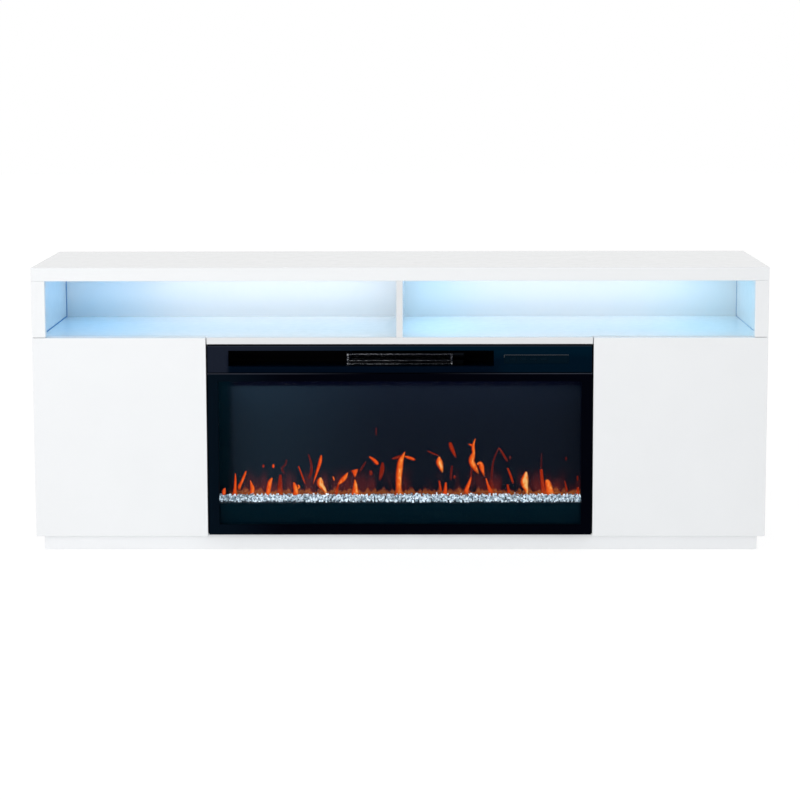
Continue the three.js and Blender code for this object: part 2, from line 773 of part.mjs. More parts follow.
function fixingTab(sign, height) {
  const z = [height - tabHeight / 2, height + tabHeight / 2];
  const plateX = [sign * (partitionInnerX - fitGap - sheet), sign * (partitionInnerX - fitGap)];
  const back = carcassFrontY + tabSetback + tabDepth;
  const plate = block(plateX, [carcassFrontY + tabSetback, back], z);
  const webX = [sign * (caseInnerX + sheet / 2), sign * (partitionInnerX - fitGap)];
  return join([plate, block(webX, [back - sheet, back], z)]);
}

function insertCase() {
  const y = [carcassFrontY, caseBackY];
  const outer = block([-caseHalfWidth, caseHalfWidth], y, [caseBottom, caseTop]);
  const hollowY = [y[0] - overrun, y[1] + overrun];
  const hollow = block([-caseInnerX, caseInnerX], hollowY, [caseFloor, caseTop - sheet]);
  const pitch = (caseHalfWidth - intakeSideMargin) / (intakeSlots / 2);
  const slotY = [caseBackY - intakeBackMargin - intakeWidth, caseBackY - intakeBackMargin];
  const slotThrough = [caseTop - sheet - overrun, caseTop + overrun];
  const slots = [];
  for (let index = 0; index < intakeSlots; index += 1) {
    const x = (index - (intakeSlots - 1) / 2) * pitch;
    const slotSpanX = [x - (pitch - intakeBar) / 2, x + (pitch - intakeBar) / 2];
    slots.push(block(slotSpanX, slotY, slotThrough));
  }
  const bearing = rod('x', shaftRadius + shaftClearance, -caseHalfWidth - overrun, -caseInnerX + overrun,
    [spindleY, spindleZ]);
  const tabs = sides.flatMap(({ sign }) => tabHeights.map((height) => fixingTab(sign, height)));
  return join([cut(outer, [hollow, ...slots, bearing]), ...tabs]);
}
add(insert, 'insert_case', insertCase(), blackSteel);

// The back cover closes the case, with two banks of vents behind the flame screen and the cord inlet's hole.
const coverY = [caseBackY + fitGap, caseBackY + fitGap + sheet];
const glandX = caseHalfWidth - glandSideMargin;
const glandZ = caseBottom + glandHeight;

function backCover() {
  const plate = block([-caseHalfWidth, caseHalfWidth], coverY, [caseBottom, caseTop]);
  const through = [coverY[0] - overrun, coverY[1] + overrun];
  const holes = [rod('y', glandBodyRadius + fitGap, ...through, [glandX, glandZ])];
  const pitch = (caseHalfWidth - ventMiddleMargin - ventSideMargin) / ventColumns;
  for (const { sign } of sides) {
    for (let row = 0; row < ventRows; row += 1) {
      const z = deckZ - ventDeckMargin - row * ventRowPitch;
      for (let column = 0; column < ventColumns; column += 1) {
        const start = ventMiddleMargin + column * pitch;
        const spanX = [sign * start, sign * (start + pitch - ventBar)];
        holes.push(block(spanX, through, [z - ventWidth, z]));
      }
    }
  }
  return cut(plate, holes);
}
add(insert, 'insert_back_cover', backCover(), blackSteel);

function cordGland() {
  const inner = coverY[0] - glandInside;
  const nutInner = coverY[0] - fitGap - glandNutLength;
  const outer = coverY[1] + glandProud;
  const shape = [
    [glandBore, inner],
    [glandBodyRadius, inner],
    [glandBodyRadius, nutInner],
    [glandNutRadius, nutInner],
    [glandNutRadius, coverY[0] - fitGap],
    [glandBodyRadius, coverY[0] - fitGap],
    [glandBodyRadius, coverY[1] + fitGap],
    [glandNutRadius, coverY[1] + fitGap],
    [glandNutRadius, coverY[1] + fitGap + glandNutLength],
    [glandBodyRadius, outer],
    [glandBore, outer],
    [glandBore, inner],
  ];
  return turned(shape, glandX, glandZ, smallSides);
}
add(insert, 'cord_gland', cordGland(), blackPlastic);

const insideX = [-caseInnerX + fitGap, caseInnerX - fitGap];

// Heater core: a tall and a low row of corrugated fins between three bars, on end plates over the deck.
const heaterTop = slotTop - heaterTopDrop;
const upperFinTop = heaterTop - heaterBar;
const middleBarTop = upperFinTop - heaterUpperFins;
const lowerFinTop = middleBarTop - heaterMiddleBar;
const lowBarTop = lowerFinTop - heaterLowerFins;
const heaterY = [carcassFrontY + heaterSetback, carcassFrontY + heaterSetback + heaterDepth];

function corrugatedFins(bottom, top) {
  const run = heaterWidth / heaterFinCount;
  const upper = [];
  const lower = [];
  for (let step = 0; step <= heaterFinCount; step += 1) {
    const x = -heaterWidth / 2 + step * run;
    const z = step % 2 ? top : bottom;
    upper.push([z + heaterFinSheet, x]);
    lower.unshift([z - heaterFinSheet, x]);
  }
  return drawnOut('y', outline([...upper, ...lower]), ...heaterY);
}

function heaterCore() {
  const barX = [-heaterWidth / 2, heaterWidth / 2];
  const bars = [[upperFinTop, heaterTop], [lowerFinTop, middleBarTop], [lowBarTop - heaterBar, lowBarTop]];
  const barBlocks = bars.map((z) => block(barX, heaterY, z));
  const fins = [corrugatedFins(middleBarTop, upperFinTop), corrugatedFins(lowBarTop, lowerFinTop)];
  const ends = sides.map(({ sign }) => {
    const x = [sign * (heaterWidth / 2 - heaterFinSheet), sign * (heaterWidth / 2 + heaterEndPlate)];
    return block(x, heaterY, [deckZ + sheet + fitGap, heaterTop]);
  });
  return join([...fins, ...barBlocks, ...ends]);
}
add(insert, 'heater_core', heaterCore(), aluminium);

// Cross-flow blower: curved blades between discs on one shaft, behind the heater.
const rotorHalf = blowerLength / 2;
const bracketOuter = rotorHalf + bracketGap + bracketSheet;

function onBlower(radius, angle) {
  return [blowerY + radius * Math.cos(angle), blowerZ + radius * Math.sin(angle)];
}

function bladeOutline(turn) {
  const steps = 2;
  const outer = [];
  const inner = [];
  for (let step = 0; step <= steps; step += 1) {
    const share = step / steps;
    const radius = blowerInnerRadius + (blowerRadius - blowerInnerRadius) * share;
    const angle = turn + bladeLean * share * share;
    const halfSheet = bladeSheet / 2 / radius;
    outer.push(onBlower(radius, angle + halfSheet));
    inner.unshift(onBlower(radius, angle - halfSheet));
  }
  return outline([...outer, ...inner]);
}

function blowerRotor() {
  const centre = [blowerY, blowerZ];
  const discRadius = blowerRadius + bladeSheet / 2;
  const discPlaces = [-rotorHalf, -discThickness / 2, rotorHalf - discThickness];
  const pieces = discPlaces.map((place) => (
    rod('x', discRadius, place, place + discThickness, centre, roundSides)));
  for (let index = 0; index < bladeCount; index += 1) {
    const turn = index * 2 * Math.PI / bladeCount;
    const reach = rotorHalf - discThickness / 2;
    pieces.push(drawnOut('x', bladeOutline(turn), -reach, reach));
  }
  pieces.push(rod('x', shaftRadius, -bracketOuter, bracketOuter, centre));
  return join(pieces);
}
add(insert, 'blower_rotor', blowerRotor(), aluminium);

// A deck parts the heater chamber from the firebox, and its two brackets carry the blower's shaft.
function bracket(sign) {
  const x = [sign * (bracketOuter - bracketSheet), sign * bracketOuter];
  const y = [blowerY - bracketDepth / 2, blowerY + bracketDepth / 2];
  return block(x, y, [deckZ + sheet / 2, blowerZ + bracketRise]);
}

function heaterDeck() {
  const front = carcassFrontY + deckSetback;
  const line = [
    [caseBackY - fitGap, deckZ + sheet],
    [front, deckZ + sheet],
    [front, deckZ - deckLip],
  ];
  const deck = drawnOut('x', foldedSheet(line, sheet), ...insideX);
  const shaftHole = rod('x', shaftRadius + shaftClearance, -bracketOuter - overrun, bracketOuter + overrun,
    [blowerY, blowerZ]);
  return cut(join([deck, ...sides.map(({ sign }) => bracket(sign))]), [shaftHole]);
}
add(insert, 'heater_deck', heaterDeck(), blackSteel);

function blowerMotor() {
  const from = bracketOuter + fitGap;
  const can = rod('x', motorRadius, from, from + motorLength, [blowerY, blowerZ], roundSides);
  const footX = [from + sheet, from + motorLength - sheet];
  const footY = [blowerY - motorFootWidth / 2, blowerY + motorFootWidth / 2];
  return join([can, block(footX, footY, [deckZ + sheet + fitGap, blowerZ])]);
}
add(insert, 'blower_motor', blowerMotor(), zinc);

// Ember tray: a folded shelf with a deep front lip, standing on the floor of the case.
const trayFront = carcassFrontY + traySetback;
const trayBack = trayFront + trayDepth;

function emberTray() {
  const foot = caseFloor + fitGap;
  const line = [
    [trayBack, foot],
    [trayBack, trayTop],
    [trayFront, trayTop],
    [trayFront, foot],
  ];
  return drawnOut('x', foldedSheet(line, sheet), ...insideX);
}
add(insert, 'ember_tray', emberTray(), blackGloss);

// Crystal bed: the outer form of a layer of broken crystal, its top made uneven by a fixed pattern.
function crystalBed() {
  const x = [insideX[0] + crystalSideMargin, insideX[1] - crystalSideMargin];
  const y = [trayFront + crystalSetback, trayBack - crystalSetback];
  const size = [x[1] - x[0], y[1] - y[0], crystalBase];
  const geometry = new THREE.BoxGeometry(...size, crystalColumns, crystalRows, 1);
  const low = trayTop + fitGap;
  geometry.translate(0, (y[0] + y[1]) / 2, low + crystalBase / 2);
  const place = geometry.attributes.position;
  const columnStep = size[0] / crystalColumns;
  const rowStep = size[1] / crystalRows;
  for (let index = 0; index < place.count; index += 1) {
    if (place.getZ(index) > low + crystalBase / 2) {
      const column = Math.round((place.getX(index) - x[0]) / columnStep);
      const row = Math.round((place.getY(index) - y[0]) / rowStep);
      const quick = Math.sin(column * crystalColumnTurn + row * crystalRowTurn);
      const slow = Math.sin(column * crystalSlowColumnTurn - row * crystalSlowRowTurn);
      const wave = quick + slow;
      place.setZ(index, low + crystalBase + crystalRise / 4 * wave);
    }
  }
  return geometry;
}
add(insert, 'crystal_bed', crystalBed(), crystalFinish);

const screenZ = [caseFloor + fitGap, deckZ - fitGap];
add(insert, 'flame_screen', block(insideX, [screenY, screenBackY], screenZ), screenFinish);

// Flame spindle: reflector tabs set at steps round a long shaft, turned by a small motor at its right end.
const spindleMotorX = caseInnerX - spindleMotorEnd - spindleMotorLength;

function reflectorTab(x, turn) {
  const alongX = [-tabLength / 2, tabLength / 2];
  const tab = block(alongX, [-tabSheet / 2, tabSheet / 2], [-bladeReach, bladeReach]);
  return tab.rotateX(turn).translate(x, spindleY, spindleZ);
}

function flameSpindle() {
  const start = -caseHalfWidth + sheet / 2;
  const end = spindleMotorX - fitGap;
  const pieces = [rod('x', shaftRadius, start, end, [spindleY, spindleZ])];
  let turn = 0;
  for (let x = -caseInnerX + tabPitch; x + tabLength < end; x += tabPitch) {
    pieces.push(reflectorTab(x, turn));
    turn += tabTurn;
  }
  return join(pieces);
}
add(insert, 'flame_spindle', flameSpindle(), aluminium);

function spindleMotor() {
  const to = spindleMotorX + spindleMotorLength;
  const can = rod('x', spindleMotorRadius, spindleMotorX, to, [spindleY, spindleZ], roundSides);
  const footX = [spindleMotorX + sheet, to - sheet];
  const footY = [spindleY - spindleMotorRadius / 2, spindleY + spindleMotorRadius / 2];
  return join([can, block(footX, footY, [caseFloor + fitGap, spindleZ])]);
}
add(insert, 'spindle_motor', spindleMotor(), zinc);

export default stand;
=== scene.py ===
# %% [markdown]
# # A white media console with a fireplace insert
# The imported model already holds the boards, doors, hinges and the insert at their real sizes.
# This lesson gives them their finish: white gloss, black steel, glass, lit crystals and flames.
# We start by loading the model as a fixed frame, so that every new piece can be placed by asking where its
# neighbour is, and nothing has to be measured twice.

# %% Load the frame
import math
import random
import bmesh
import bpy
from mathutils import Matrix, Vector


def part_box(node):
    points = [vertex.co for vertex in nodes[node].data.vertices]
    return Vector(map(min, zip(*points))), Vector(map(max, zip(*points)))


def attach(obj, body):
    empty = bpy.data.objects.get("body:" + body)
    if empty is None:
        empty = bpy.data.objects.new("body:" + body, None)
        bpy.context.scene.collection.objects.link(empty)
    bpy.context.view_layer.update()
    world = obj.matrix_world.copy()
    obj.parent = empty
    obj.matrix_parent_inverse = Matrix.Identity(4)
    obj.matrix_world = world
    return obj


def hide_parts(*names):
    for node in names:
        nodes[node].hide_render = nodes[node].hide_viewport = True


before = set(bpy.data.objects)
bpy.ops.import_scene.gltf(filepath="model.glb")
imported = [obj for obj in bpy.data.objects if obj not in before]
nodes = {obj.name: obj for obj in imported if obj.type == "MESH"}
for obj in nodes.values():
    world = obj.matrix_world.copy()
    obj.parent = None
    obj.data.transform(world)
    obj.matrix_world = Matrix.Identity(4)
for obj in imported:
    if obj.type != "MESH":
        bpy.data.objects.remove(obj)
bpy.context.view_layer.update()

# %% [markdown]
# The camera comes first, because it decides how large each detail is in the picture.
# A long lens far away keeps the ends of the console almost parallel. The lens is also shifted a little, as
# an architect's camera is, so that upright edges stay nearly upright in the picture.
# A camera could be aimed with a Track To constraint, but setting its axes directly keeps the small tilt
# exact.

# %% Camera
CAMERA_PLACE = Vector((0.04818, -5.08396, 1.181))
CAMERA_PITCH = math.radians(6.78)
CAMERA_TURN = math.radians(-0.55)
CAMERA_ROLL = math.radians(-0.13)
CAMERA_LENS = 94.6
CAMERA_SHIFT = -0.125
CONSOLE_MIDDLE = (0, 0, 0.34)


def aim_camera():
    level = math.cos(CAMERA_PITCH)
    ahead = Vector((math.sin(CAMERA_TURN) * level, math.cos(CAMERA_TURN) * level, -math.sin(CAMERA_PITCH)))
    right = Vector((math.cos(CAMERA_TURN), -math.sin(CAMERA_TURN), 0))
    up = right.cross(ahead)
    tilt = Matrix.Rotation(CAMERA_ROLL, 3, -ahead)
    axes = Matrix((tilt @ right, tilt @ up, -ahead)).transposed()
    return Matrix.Translation(CAMERA_PLACE) @ axes.to_4x4()


camera_data = bpy.data.cameras.new("Camera")
camera_data.lens = CAMERA_LENS
camera_data.shift_y = CAMERA_SHIFT
camera = bpy.data.objects.new("Camera", camera_data)
camera.matrix_world = aim_camera()
bpy.context.scene.collection.objects.link(camera)
bpy.context.scene.camera = camera
print("camera", round((CAMERA_PLACE - Vector(CONSOLE_MIDDLE)).length, 2), "m from the middle")

# %% [markdown]
# Every material below is built from the same few moves: a Principled shader, texture nodes that vary it, and
# links. Small helpers keep those moves short. All textures read object coordinates. A CAD node's object sits
# at the origin, so these coordinates are real metres on the console, and a pattern's scale is a real size.

# %% Material helpers
def start_material(name, color, roughness, metallic=0.0):
    material = bpy.data.materials.new(name)
    material.use_nodes = True
    shader = material.node_tree.nodes["Principled BSDF"]
    shader.inputs["Base Color"].default_value = (*color, 1)
    shader.inputs["Roughness"].default_value = roughness
    shader.inputs["Metallic"].default_value = metallic
    return material, shader


def add_node(material, kind, operation=None, **inputs):
    node = material.node_tree.nodes.new(kind)
    if operation:
        node.operation = operation
    for name, value in inputs.items():
        node.inputs[name.replace("_", " ")].default_value = value
    return node


def connect(material, source, target):
    material.node_tree.links.new(source, target)


def place_node(material, stretch=(1, 1, 1)):
    place = add_node(material, "ShaderNodeTexCoord")
    mapping = add_node(material, "ShaderNodeMapping", Scale=stretch)
    connect(material, place.outputs["Object"], mapping.inputs["Vector"])
    return mapping.outputs["Vector"]


def noise_node(material, scale, detail=3.0, stretch=(1, 1, 1)):
    texture = add_node(material, "ShaderNodeTexNoise", Scale=scale, Detail=detail)
    connect(material, place_node(material, stretch), texture.inputs["Vector"])
    return texture.outputs["Fac"]


def mix_colors(material, share, low, high):
    blend = add_node(material, "ShaderNodeMix")
    blend.data_type = "RGBA"
    connect(material, share, blend.inputs["Factor"])
    for side, color in (("A", low), ("B", high)):
        if isinstance(color, bpy.types.NodeSocket):
            connect(material, color, blend.inputs[side])
        else:
            blend.inputs[side].default_value = (*color, 1)
    return blend.outputs["Result"]


def spread(material, value, low, high):
    steps = add_node(material, "ShaderNodeMapRange", To_Min=low, To_Max=high)
    connect(material, value, steps.inputs["Value"])
    return steps.outputs["Result"]


def add_bump(material, shader, height, strength, distance):
    bump = add_node(material, "ShaderNodeBump", Strength=strength, Distance=distance)
    connect(material, height, bump.inputs["Height"])
    connect(material, bump.outputs["Normal"], shader.inputs["Normal"])


def ramp(material, value, start, end, low=0.0, high=1.0):
    steps = add_node(material, "ShaderNodeMapRange", From_Min=start, From_Max=end, To_Min=low, To_Max=high)
    steps.interpolation_type = "SMOOTHSTEP"
    connect(material, value, steps.inputs["Value"])
    return steps.outputs["Result"]


def reckon(material, operation, *values):
    step = add_node(material, "ShaderNodeMath", operation)
    for socket, value in zip(step.inputs, values):
        if isinstance(value, (int, float)):
            socket.default_value = value
        else:
            connect(material, value, socket)
    return step.outputs["Value"]


def times(material, first, second):
    return reckon(material, "MULTIPLY", first, second)


def away_from(material, value, place):
    return reckon(material, "ABSOLUTE", reckon(material, "SUBTRACT", value, place))


def places(material):
    spot = add_node(material, "ShaderNodeTexCoord")
    split = add_node(material, "ShaderNodeSeparateXYZ")
    connect(material, spot.outputs["Object"], split.inputs["Vector"])
    return split.outputs


print("material helpers ready")

# %% [markdown]
# Pieces are built the same way each time. Their faces are gathered in a bmesh, which is Blender's editable
# mesh. The mesh then becomes an object and is told which body it moves with. Modifiers such as Bevel and
# Solidify finish its form. What comes in pairs is made by a loop over the two sides, each with its sign
# along X.

# %% Piece helpers
def make_piece(name, mesh, *finishes):
    data = bpy.data.meshes.new(name)
    mesh.to_mesh(data)
    mesh.free()
    piece = bpy.data.objects.new(name, data)
    bpy.context.scene.collection.objects.link(piece)
    for finish in finishes:
        data.materials.append(finish)
    return piece


def seat(piece, body, slot, *replaced):
    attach(piece, body)
    if replaced:
        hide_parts(*replaced)
    return piece


SIDES = {"left": -1, "right": 1}
SHARP_ANGLE = math.radians(20)


def round_edges(piece, radius, segments=3):
    bevel = piece.modifiers.new("rounded edges", "BEVEL")
    bevel.width = radius
    bevel.segments = segments
    bevel.limit_method = "ANGLE"
    bevel.angle_limit = SHARP_ANGLE
    bevel.harden_normals = True


def add_block(mesh, low, high):
    middle = (Vector(low) + Vector(high)) / 2
    size = [b - a for a, b in zip(low, high)]
    place = Matrix.Translation(middle) @ Matrix.Diagonal((*size, 1))
    bmesh.ops.create_cube(mesh, size=1, matrix=place)


print("piece helpers ready")

# %% [markdown]
# The visible boards are finished in white gloss: a smooth lacquer over flat board. Real lacquer isn't a
# mirror. It dries with a faint ripple, a few millimetres from crest to crest, that painters call orange peel,
# and its sheen changes slightly from place to place. A coat layer over the white gives the sharp reflection,
# and a very shallow bump gives the ripple. The narrow strips, the rail over the insert and the niche divider,
# are painted a shade darker than the faces: painted shade, for the shade they stand in. The plinth is painted
# a shade whiter: painted light, which lifts the shade under the doors.

# %% White gloss
def make_gloss_white(name, tone):
    material, shader = start_material(name, (0.90, 0.915, 0.93), 0.22)
    cloudy = noise_node(material, 9.0)
    low = [part * tone for part in (0.885, 0.9, 0.915)]
    high = [part * tone for part in (0.915, 0.93, 0.945)]
    connect(material, mix_colors(material, cloudy, low, high), shader.inputs["Base Color"])
    connect(material, spread(material, noise_node(material, 45.0), 0.18, 0.27), shader.inputs["Roughness"])
    shader.inputs["Coat Weight"].default_value = 0.35
    shader.inputs["Coat Roughness"].default_value = 0.06
    add_bump(material, shader, noise_node(material, 230.0, 1.0), 0.05, 0.0004)
    return material


gloss_white = make_gloss_white("gloss_white", 1.0)
# The darker white is painted shade, for the narrow strips that stand in shade.
shaded_white = make_gloss_white("shaded_white", 0.87)
# The whiter plinth is painted light, which lifts the shade under the doors.
plinth_lit_white = make_gloss_white("plinth_lit_white", 1.05)
print("made", gloss_white.name, shaded_white.name, plinth_lit_white.name)

# %% [markdown]
# Inside the compartments and underneath, such furniture has the cheaper white foil: satin, with a fine
# pressed grain that only shows close up. The back panels are thin fibreboard. Their room side carries white
# foil and their outer side is bare brown board, and the face's own direction tells the two apart.

# %% White foil and fibreboard
def foil_look(material, shader):
    speckle = noise_node(material, 900.0, 2.0)
    connect(material, spread(material, speckle, 0.42, 0.6), shader.inputs["Roughness"])
    add_bump(material, shader, speckle, 0.12, 0.0002)


def make_foil_white():
    material, shader = start_material("foil_white", (0.86, 0.87, 0.875), 0.5)
    cloudy = noise_node(material, 14.0)
    connect(material, mix_colors(material, cloudy, (0.845, 0.855, 0.862), (0.872, 0.88, 0.888)),
            shader.inputs["Base Color"])
    foil_look(material, shader)
    return material


def make_back_board():
    material, shader = start_material("back_board", (0.86, 0.87, 0.875), 0.6)
    fibres = noise_node(material, 320.0, 6.0, (1.0, 1.0, 0.25))
    bare = mix_colors(material, fibres, (0.20, 0.125, 0.07), (0.38, 0.26, 0.16))
    facing = add_node(material, "ShaderNodeNewGeometry")
    split = add_node(material, "ShaderNodeSeparateXYZ")
    connect(material, facing.outputs["Normal"], split.inputs["Vector"])
    front = reckon(material, "LESS_THAN", split.outputs["Y"], -0.5)
    connect(material, mix_colors(material, front, bare, (0.87, 0.88, 0.885)), shader.inputs["Base Color"])
    add_bump(material, shader, fibres, 0.15, 0.0002)
    return material


foil_white = make_foil_white()
back_board = make_back_board()
print("made", foil_white.name, back_board.name)

# %% [markdown]
# The insert's steel is powder coated in satin black. Powder melts into a skin of tiny beads, so it has a
# fine, soft grain and a wide, weak highlight. Black shows every reflection of a white room, so the specular
# level is set low. The fascia carries a blue sheen of painted light, strongest at its left end and above the
# slot, which falls to painted shade in the band below the slot, and a thin painted highlight along its top.
# The frame round the glass is nearly pure black, with a little painted light towards its left end, and the
# deck behind the air slot is bluer. Ramps along X and Z paint all of this.

# %% Powder coat
SLOT_FOOT = 0.4435
SLOT_HEAD = 0.480
SLOT_LEFT = -0.398
SLOT_RIGHT = 0.2
# The height of the painted highlight along the top of the fascia.
HIGHLIGHT_LINE = 0.4912
HIGHLIGHT_LINE_HALF = 0.0011
FRAME_HEAD = 0.4240


def powder_coat(name):
    material, shader = start_material(name, (0.003, 0.004, 0.007), 0.42)
    connect(material, spread(material, noise_node(material, 60.0), 0.36, 0.48), shader.inputs["Roughness"])
    shader.inputs["Specular IOR Level"].default_value = 0.008
    add_bump(material, shader, noise_node(material, 2200.0, 1.0), 0.2, 0.00015)
    return material, shader


def make_powder_black(name, low, high):
    material, shader = powder_coat(name)
    cloudy = noise_node(material, 5.0)
    connect(material, mix_colors(material, cloudy, low, high), shader.inputs["Base Color"])
    return material


def make_fascia_black():
    material, shader = powder_coat("fascia_black")
    spot = places(material)
    # Painted light: a blue sheen, brighter to the left and above the slot; below the slot it falls to painted
    # shade.
    rightward = ramp(material, spot["X"], -0.41, 0.15)
    painted_sheen = mix_colors(material, rightward, (0.0105, 0.0140, 0.0245), (0.0001, 0.0080, 0.0180))
    left_end = ramp(material, spot["X"], SLOT_LEFT, SLOT_LEFT - 0.012)
    right_end = ramp(material, spot["X"], SLOT_RIGHT, SLOT_RIGHT + 0.06, 0.0, 0.55)
    upward = ramp(material, spot["Z"], SLOT_FOOT, SLOT_HEAD)
    share = reckon(material, "MAXIMUM", upward, reckon(material, "MAXIMUM", left_end, right_end))
    body = mix_colors(material, share, (0.0003, 0.0030, 0.0088), painted_sheen)
    # Painted highlight: a thin light line along the top of the fascia.
    line = ramp(material, away_from(material, spot["Z"], HIGHLIGHT_LINE), HIGHLIGHT_LINE_HALF, 0.0, 0.0, 0.8)
    connect(material, mix_colors(material, line, body, (0.036, 0.042, 0.056)), shader.inputs["Base Color"])
    return material


def make_frame_black():
    material, shader = powder_coat("frame_black")
    # Painted light: the frame is a little lighter and bluer towards its left end, where the light falls.
    rightward = ramp(material, places(material)["X"], -0.45, -0.25)
    connect(material, mix_colors(material, rightward, (0.0016, 0.0048, 0.0095), (0.0003, 0.0006, 0.0026)),
            shader.inputs["Base Color"])
    return material


def make_frame_edge():
    material, shader = powder_coat("frame_edge")
    spot = places(material)
    # Painted highlight: the top chamfer of the frame is lighter, more so away from its middle.
    ends = ramp(material, away_from(material, spot["X"], 0.0), 0.04, 0.36)
    top_highlight = times(material, ends, ramp(material, spot["Z"], FRAME_HEAD - 0.0005, FRAME_HEAD))
    connect(material, mix_colors(material, top_highlight, (0.0004, 0.0006, 0.0020), (0.045, 0.050, 0.068)),
            shader.inputs["Base Color"])
    return material


powder_black = make_powder_black("powder_black", (0.0020, 0.0025, 0.0035), (0.0045, 0.0050, 0.0065))
deck_black = make_powder_black("deck_black", (0.0010, 0.0050, 0.0160), (0.0030, 0.0100, 0.0300))
fascia_black = make_fascia_black()
frame_black = make_frame_black()
frame_edge = make_frame_edge()
print("made", powder_black.name, deck_black.name, fascia_black.name, frame_black.name, frame_edge.name)

# %% [markdown]
# The control panel, the tray's lip and the buttons are smoother than the powder coat. They share one recipe:
# a nearly black base, smudges in the roughness, and a very faint ripple.

# %% Smooth blacks
def make_smooth_black(name, color, roughness, level):
    material, shader = start_material(name, color, roughness)
    smudge = noise_node(material, 30.0, 4.0)
    connect(material, spread(material, smudge, roughness * 0.8, roughness * 1.3), shader.inputs["Roughness"])
    shader.inputs["Specular IOR Level"].default_value = level
    add_bump(material, shader, noise_node(material, 400.0, 1.0), 0.03, 0.0002)
    return material


# Painted shade: a deep black for the chamfers that meet in gaps and for the strips in the gaps beside the
# doors.
gap_shade_black = make_smooth_black("gap_shade_black", (0.0004, 0.0006, 0.0012), 0.4, 0.01)
# Painted highlight: a light grey for the bead along the control panel's top edge.
bead_highlight = make_smooth_black("bead_highlight", (0.085, 0.088, 0.098), 0.3, 0.15)
panel_black = make_smooth_black("panel_black", (0.0008, 0.0062, 0.0125), 0.15, 0.01)
tray_black = make_smooth_black("tray_black", (0.0000, 0.0080, 0.0155), 0.25, 0.01)
button_black = make_smooth_black("button_black", (0.0012, 0.0070, 0.0135), 0.45, 0.02)
print("made", gap_shade_black.name, bead_highlight.name, panel_black.name, tray_black.name, button_black.name)

# %% [markdown]
# Hinges, wires and motor cans are zinc plated: a pale metal with cloudy, crystal-like patches. The spindle is
# plain rolled aluminium, with faint lines along the roll. The blower and its motor are made nearly black:
# painted shade, for the shade they sit in behind the air slot.

# %% Metals
ALONG_ROLL = (1.0, 14.0, 14.0)


def make_zinc():
    material, shader = start_material("zinc_plate", (0.62, 0.64, 0.66), 0.3, 1.0)
    patches = add_node(material, "ShaderNodeTexVoronoi", Scale=260.0)
    connect(material, place_node(material), patches.inputs["Vector"])
    tint = mix_colors(material, patches.outputs["Distance"], (0.66, 0.68, 0.70), (0.50, 0.52, 0.55))
    connect(material, tint, shader.inputs["Base Color"])
    connect(material, spread(material, noise_node(material, 90.0), 0.24, 0.42), shader.inputs["Roughness"])
    return material


def make_aluminium(name, dark, light):
    material, shader = start_material(name, light, 0.3, 1.0)
    lines = noise_node(material, 60.0, 4.0, ALONG_ROLL)
    connect(material, mix_colors(material, lines, dark, light), shader.inputs["Base Color"])
    connect(material, spread(material, lines, 0.22, 0.4), shader.inputs["Roughness"])
    return material


zinc_plate = make_zinc()
rolled_aluminium = make_aluminium("rolled_aluminium", (0.58, 0.59, 0.61), (0.80, 0.81, 0.83))
# Painted shade: the blower and its motor are nearly black, as dark as the shade behind the slot.
dark_aluminium = make_aluminium("dark_aluminium", (0.002, 0.003, 0.005), (0.010, 0.012, 0.016))
print("made", zinc_plate.name, rolled_aluminium.name, dark_aluminium.name)

# %% [markdown]
# Small plastic parts are moulded. Moulds are etched, so the surface has a fine matt grain.

# %% Moulded plastics
def make_moulded(name, color, roughness):
    material, shader = start_material(name, color, roughness)
    grain = noise_node(material, 1500.0, 2.0)
    connect(material, spread(material, grain, roughness * 0.85, roughness * 1.15), shader.inputs["Roughness"])
    add_bump(material, shader, grain, 0.15, 0.0002)
    return material


grey_plastic = make_moulded("grey_plastic", (0.32, 0.33, 0.345), 0.5)
black_plastic = make_moulded("black_plastic", (0.012, 0.012, 0.014), 0.55)
print("made", grey_plastic.name, black_plastic.name)

# %% [markdown]
# An LED strip is a white ribbon with a chip every few centimetres. Only the chips glow. They are the lowest
# faces of the strip, so the height along Z decides where the light comes from, and one material is enough.

# %% LED strip
CHIP_GLOW = 4.0
CHIP_SKIN = 0.0004


def make_led():
    material, shader = start_material("led_strip", (0.8, 0.82, 0.84), 0.4)
    chip_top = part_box("led_strip_left")[0].z + CHIP_SKIN
    chip = reckon(material, "LESS_THAN", places(material)["Z"], chip_top)
    shader.inputs["Emission Color"].default_value = (0.35, 0.68, 1.0, 1)
    connect(material, times(material, chip, CHIP_GLOW), shader.inputs["Emission Strength"])
    return material


led_light = make_led()
print("made", led_light.name)

# %% [markdown]
# The front glass is clear, and what we notice of it is a weak reflection. A fully refracting glass would be
# slow and would stop the lamps from lighting the firebox. A thin, mostly transparent surface does the same
# job: alpha lets the light straight through, and the rest of the shader reflects.

# %% Front glass
def make_front_glass():
    material, shader = start_material("front_glass", (0.001, 0.002, 0.003), 0.03)
    shader.inputs["Alpha"].default_value = 0.05
    shader.inputs["Specular IOR Level"].default_value = 0.2
    connect(material, spread(material, noise_node(material, 12.0), 0.02, 0.06), shader.inputs["Roughness"])
    return material


clear_glass = make_front_glass()
print("made", clear_glass.name)

# %% [markdown]
# CAD pieces with the right shape only need their material. The slot on the object is set to the object's own
# material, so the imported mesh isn't touched.

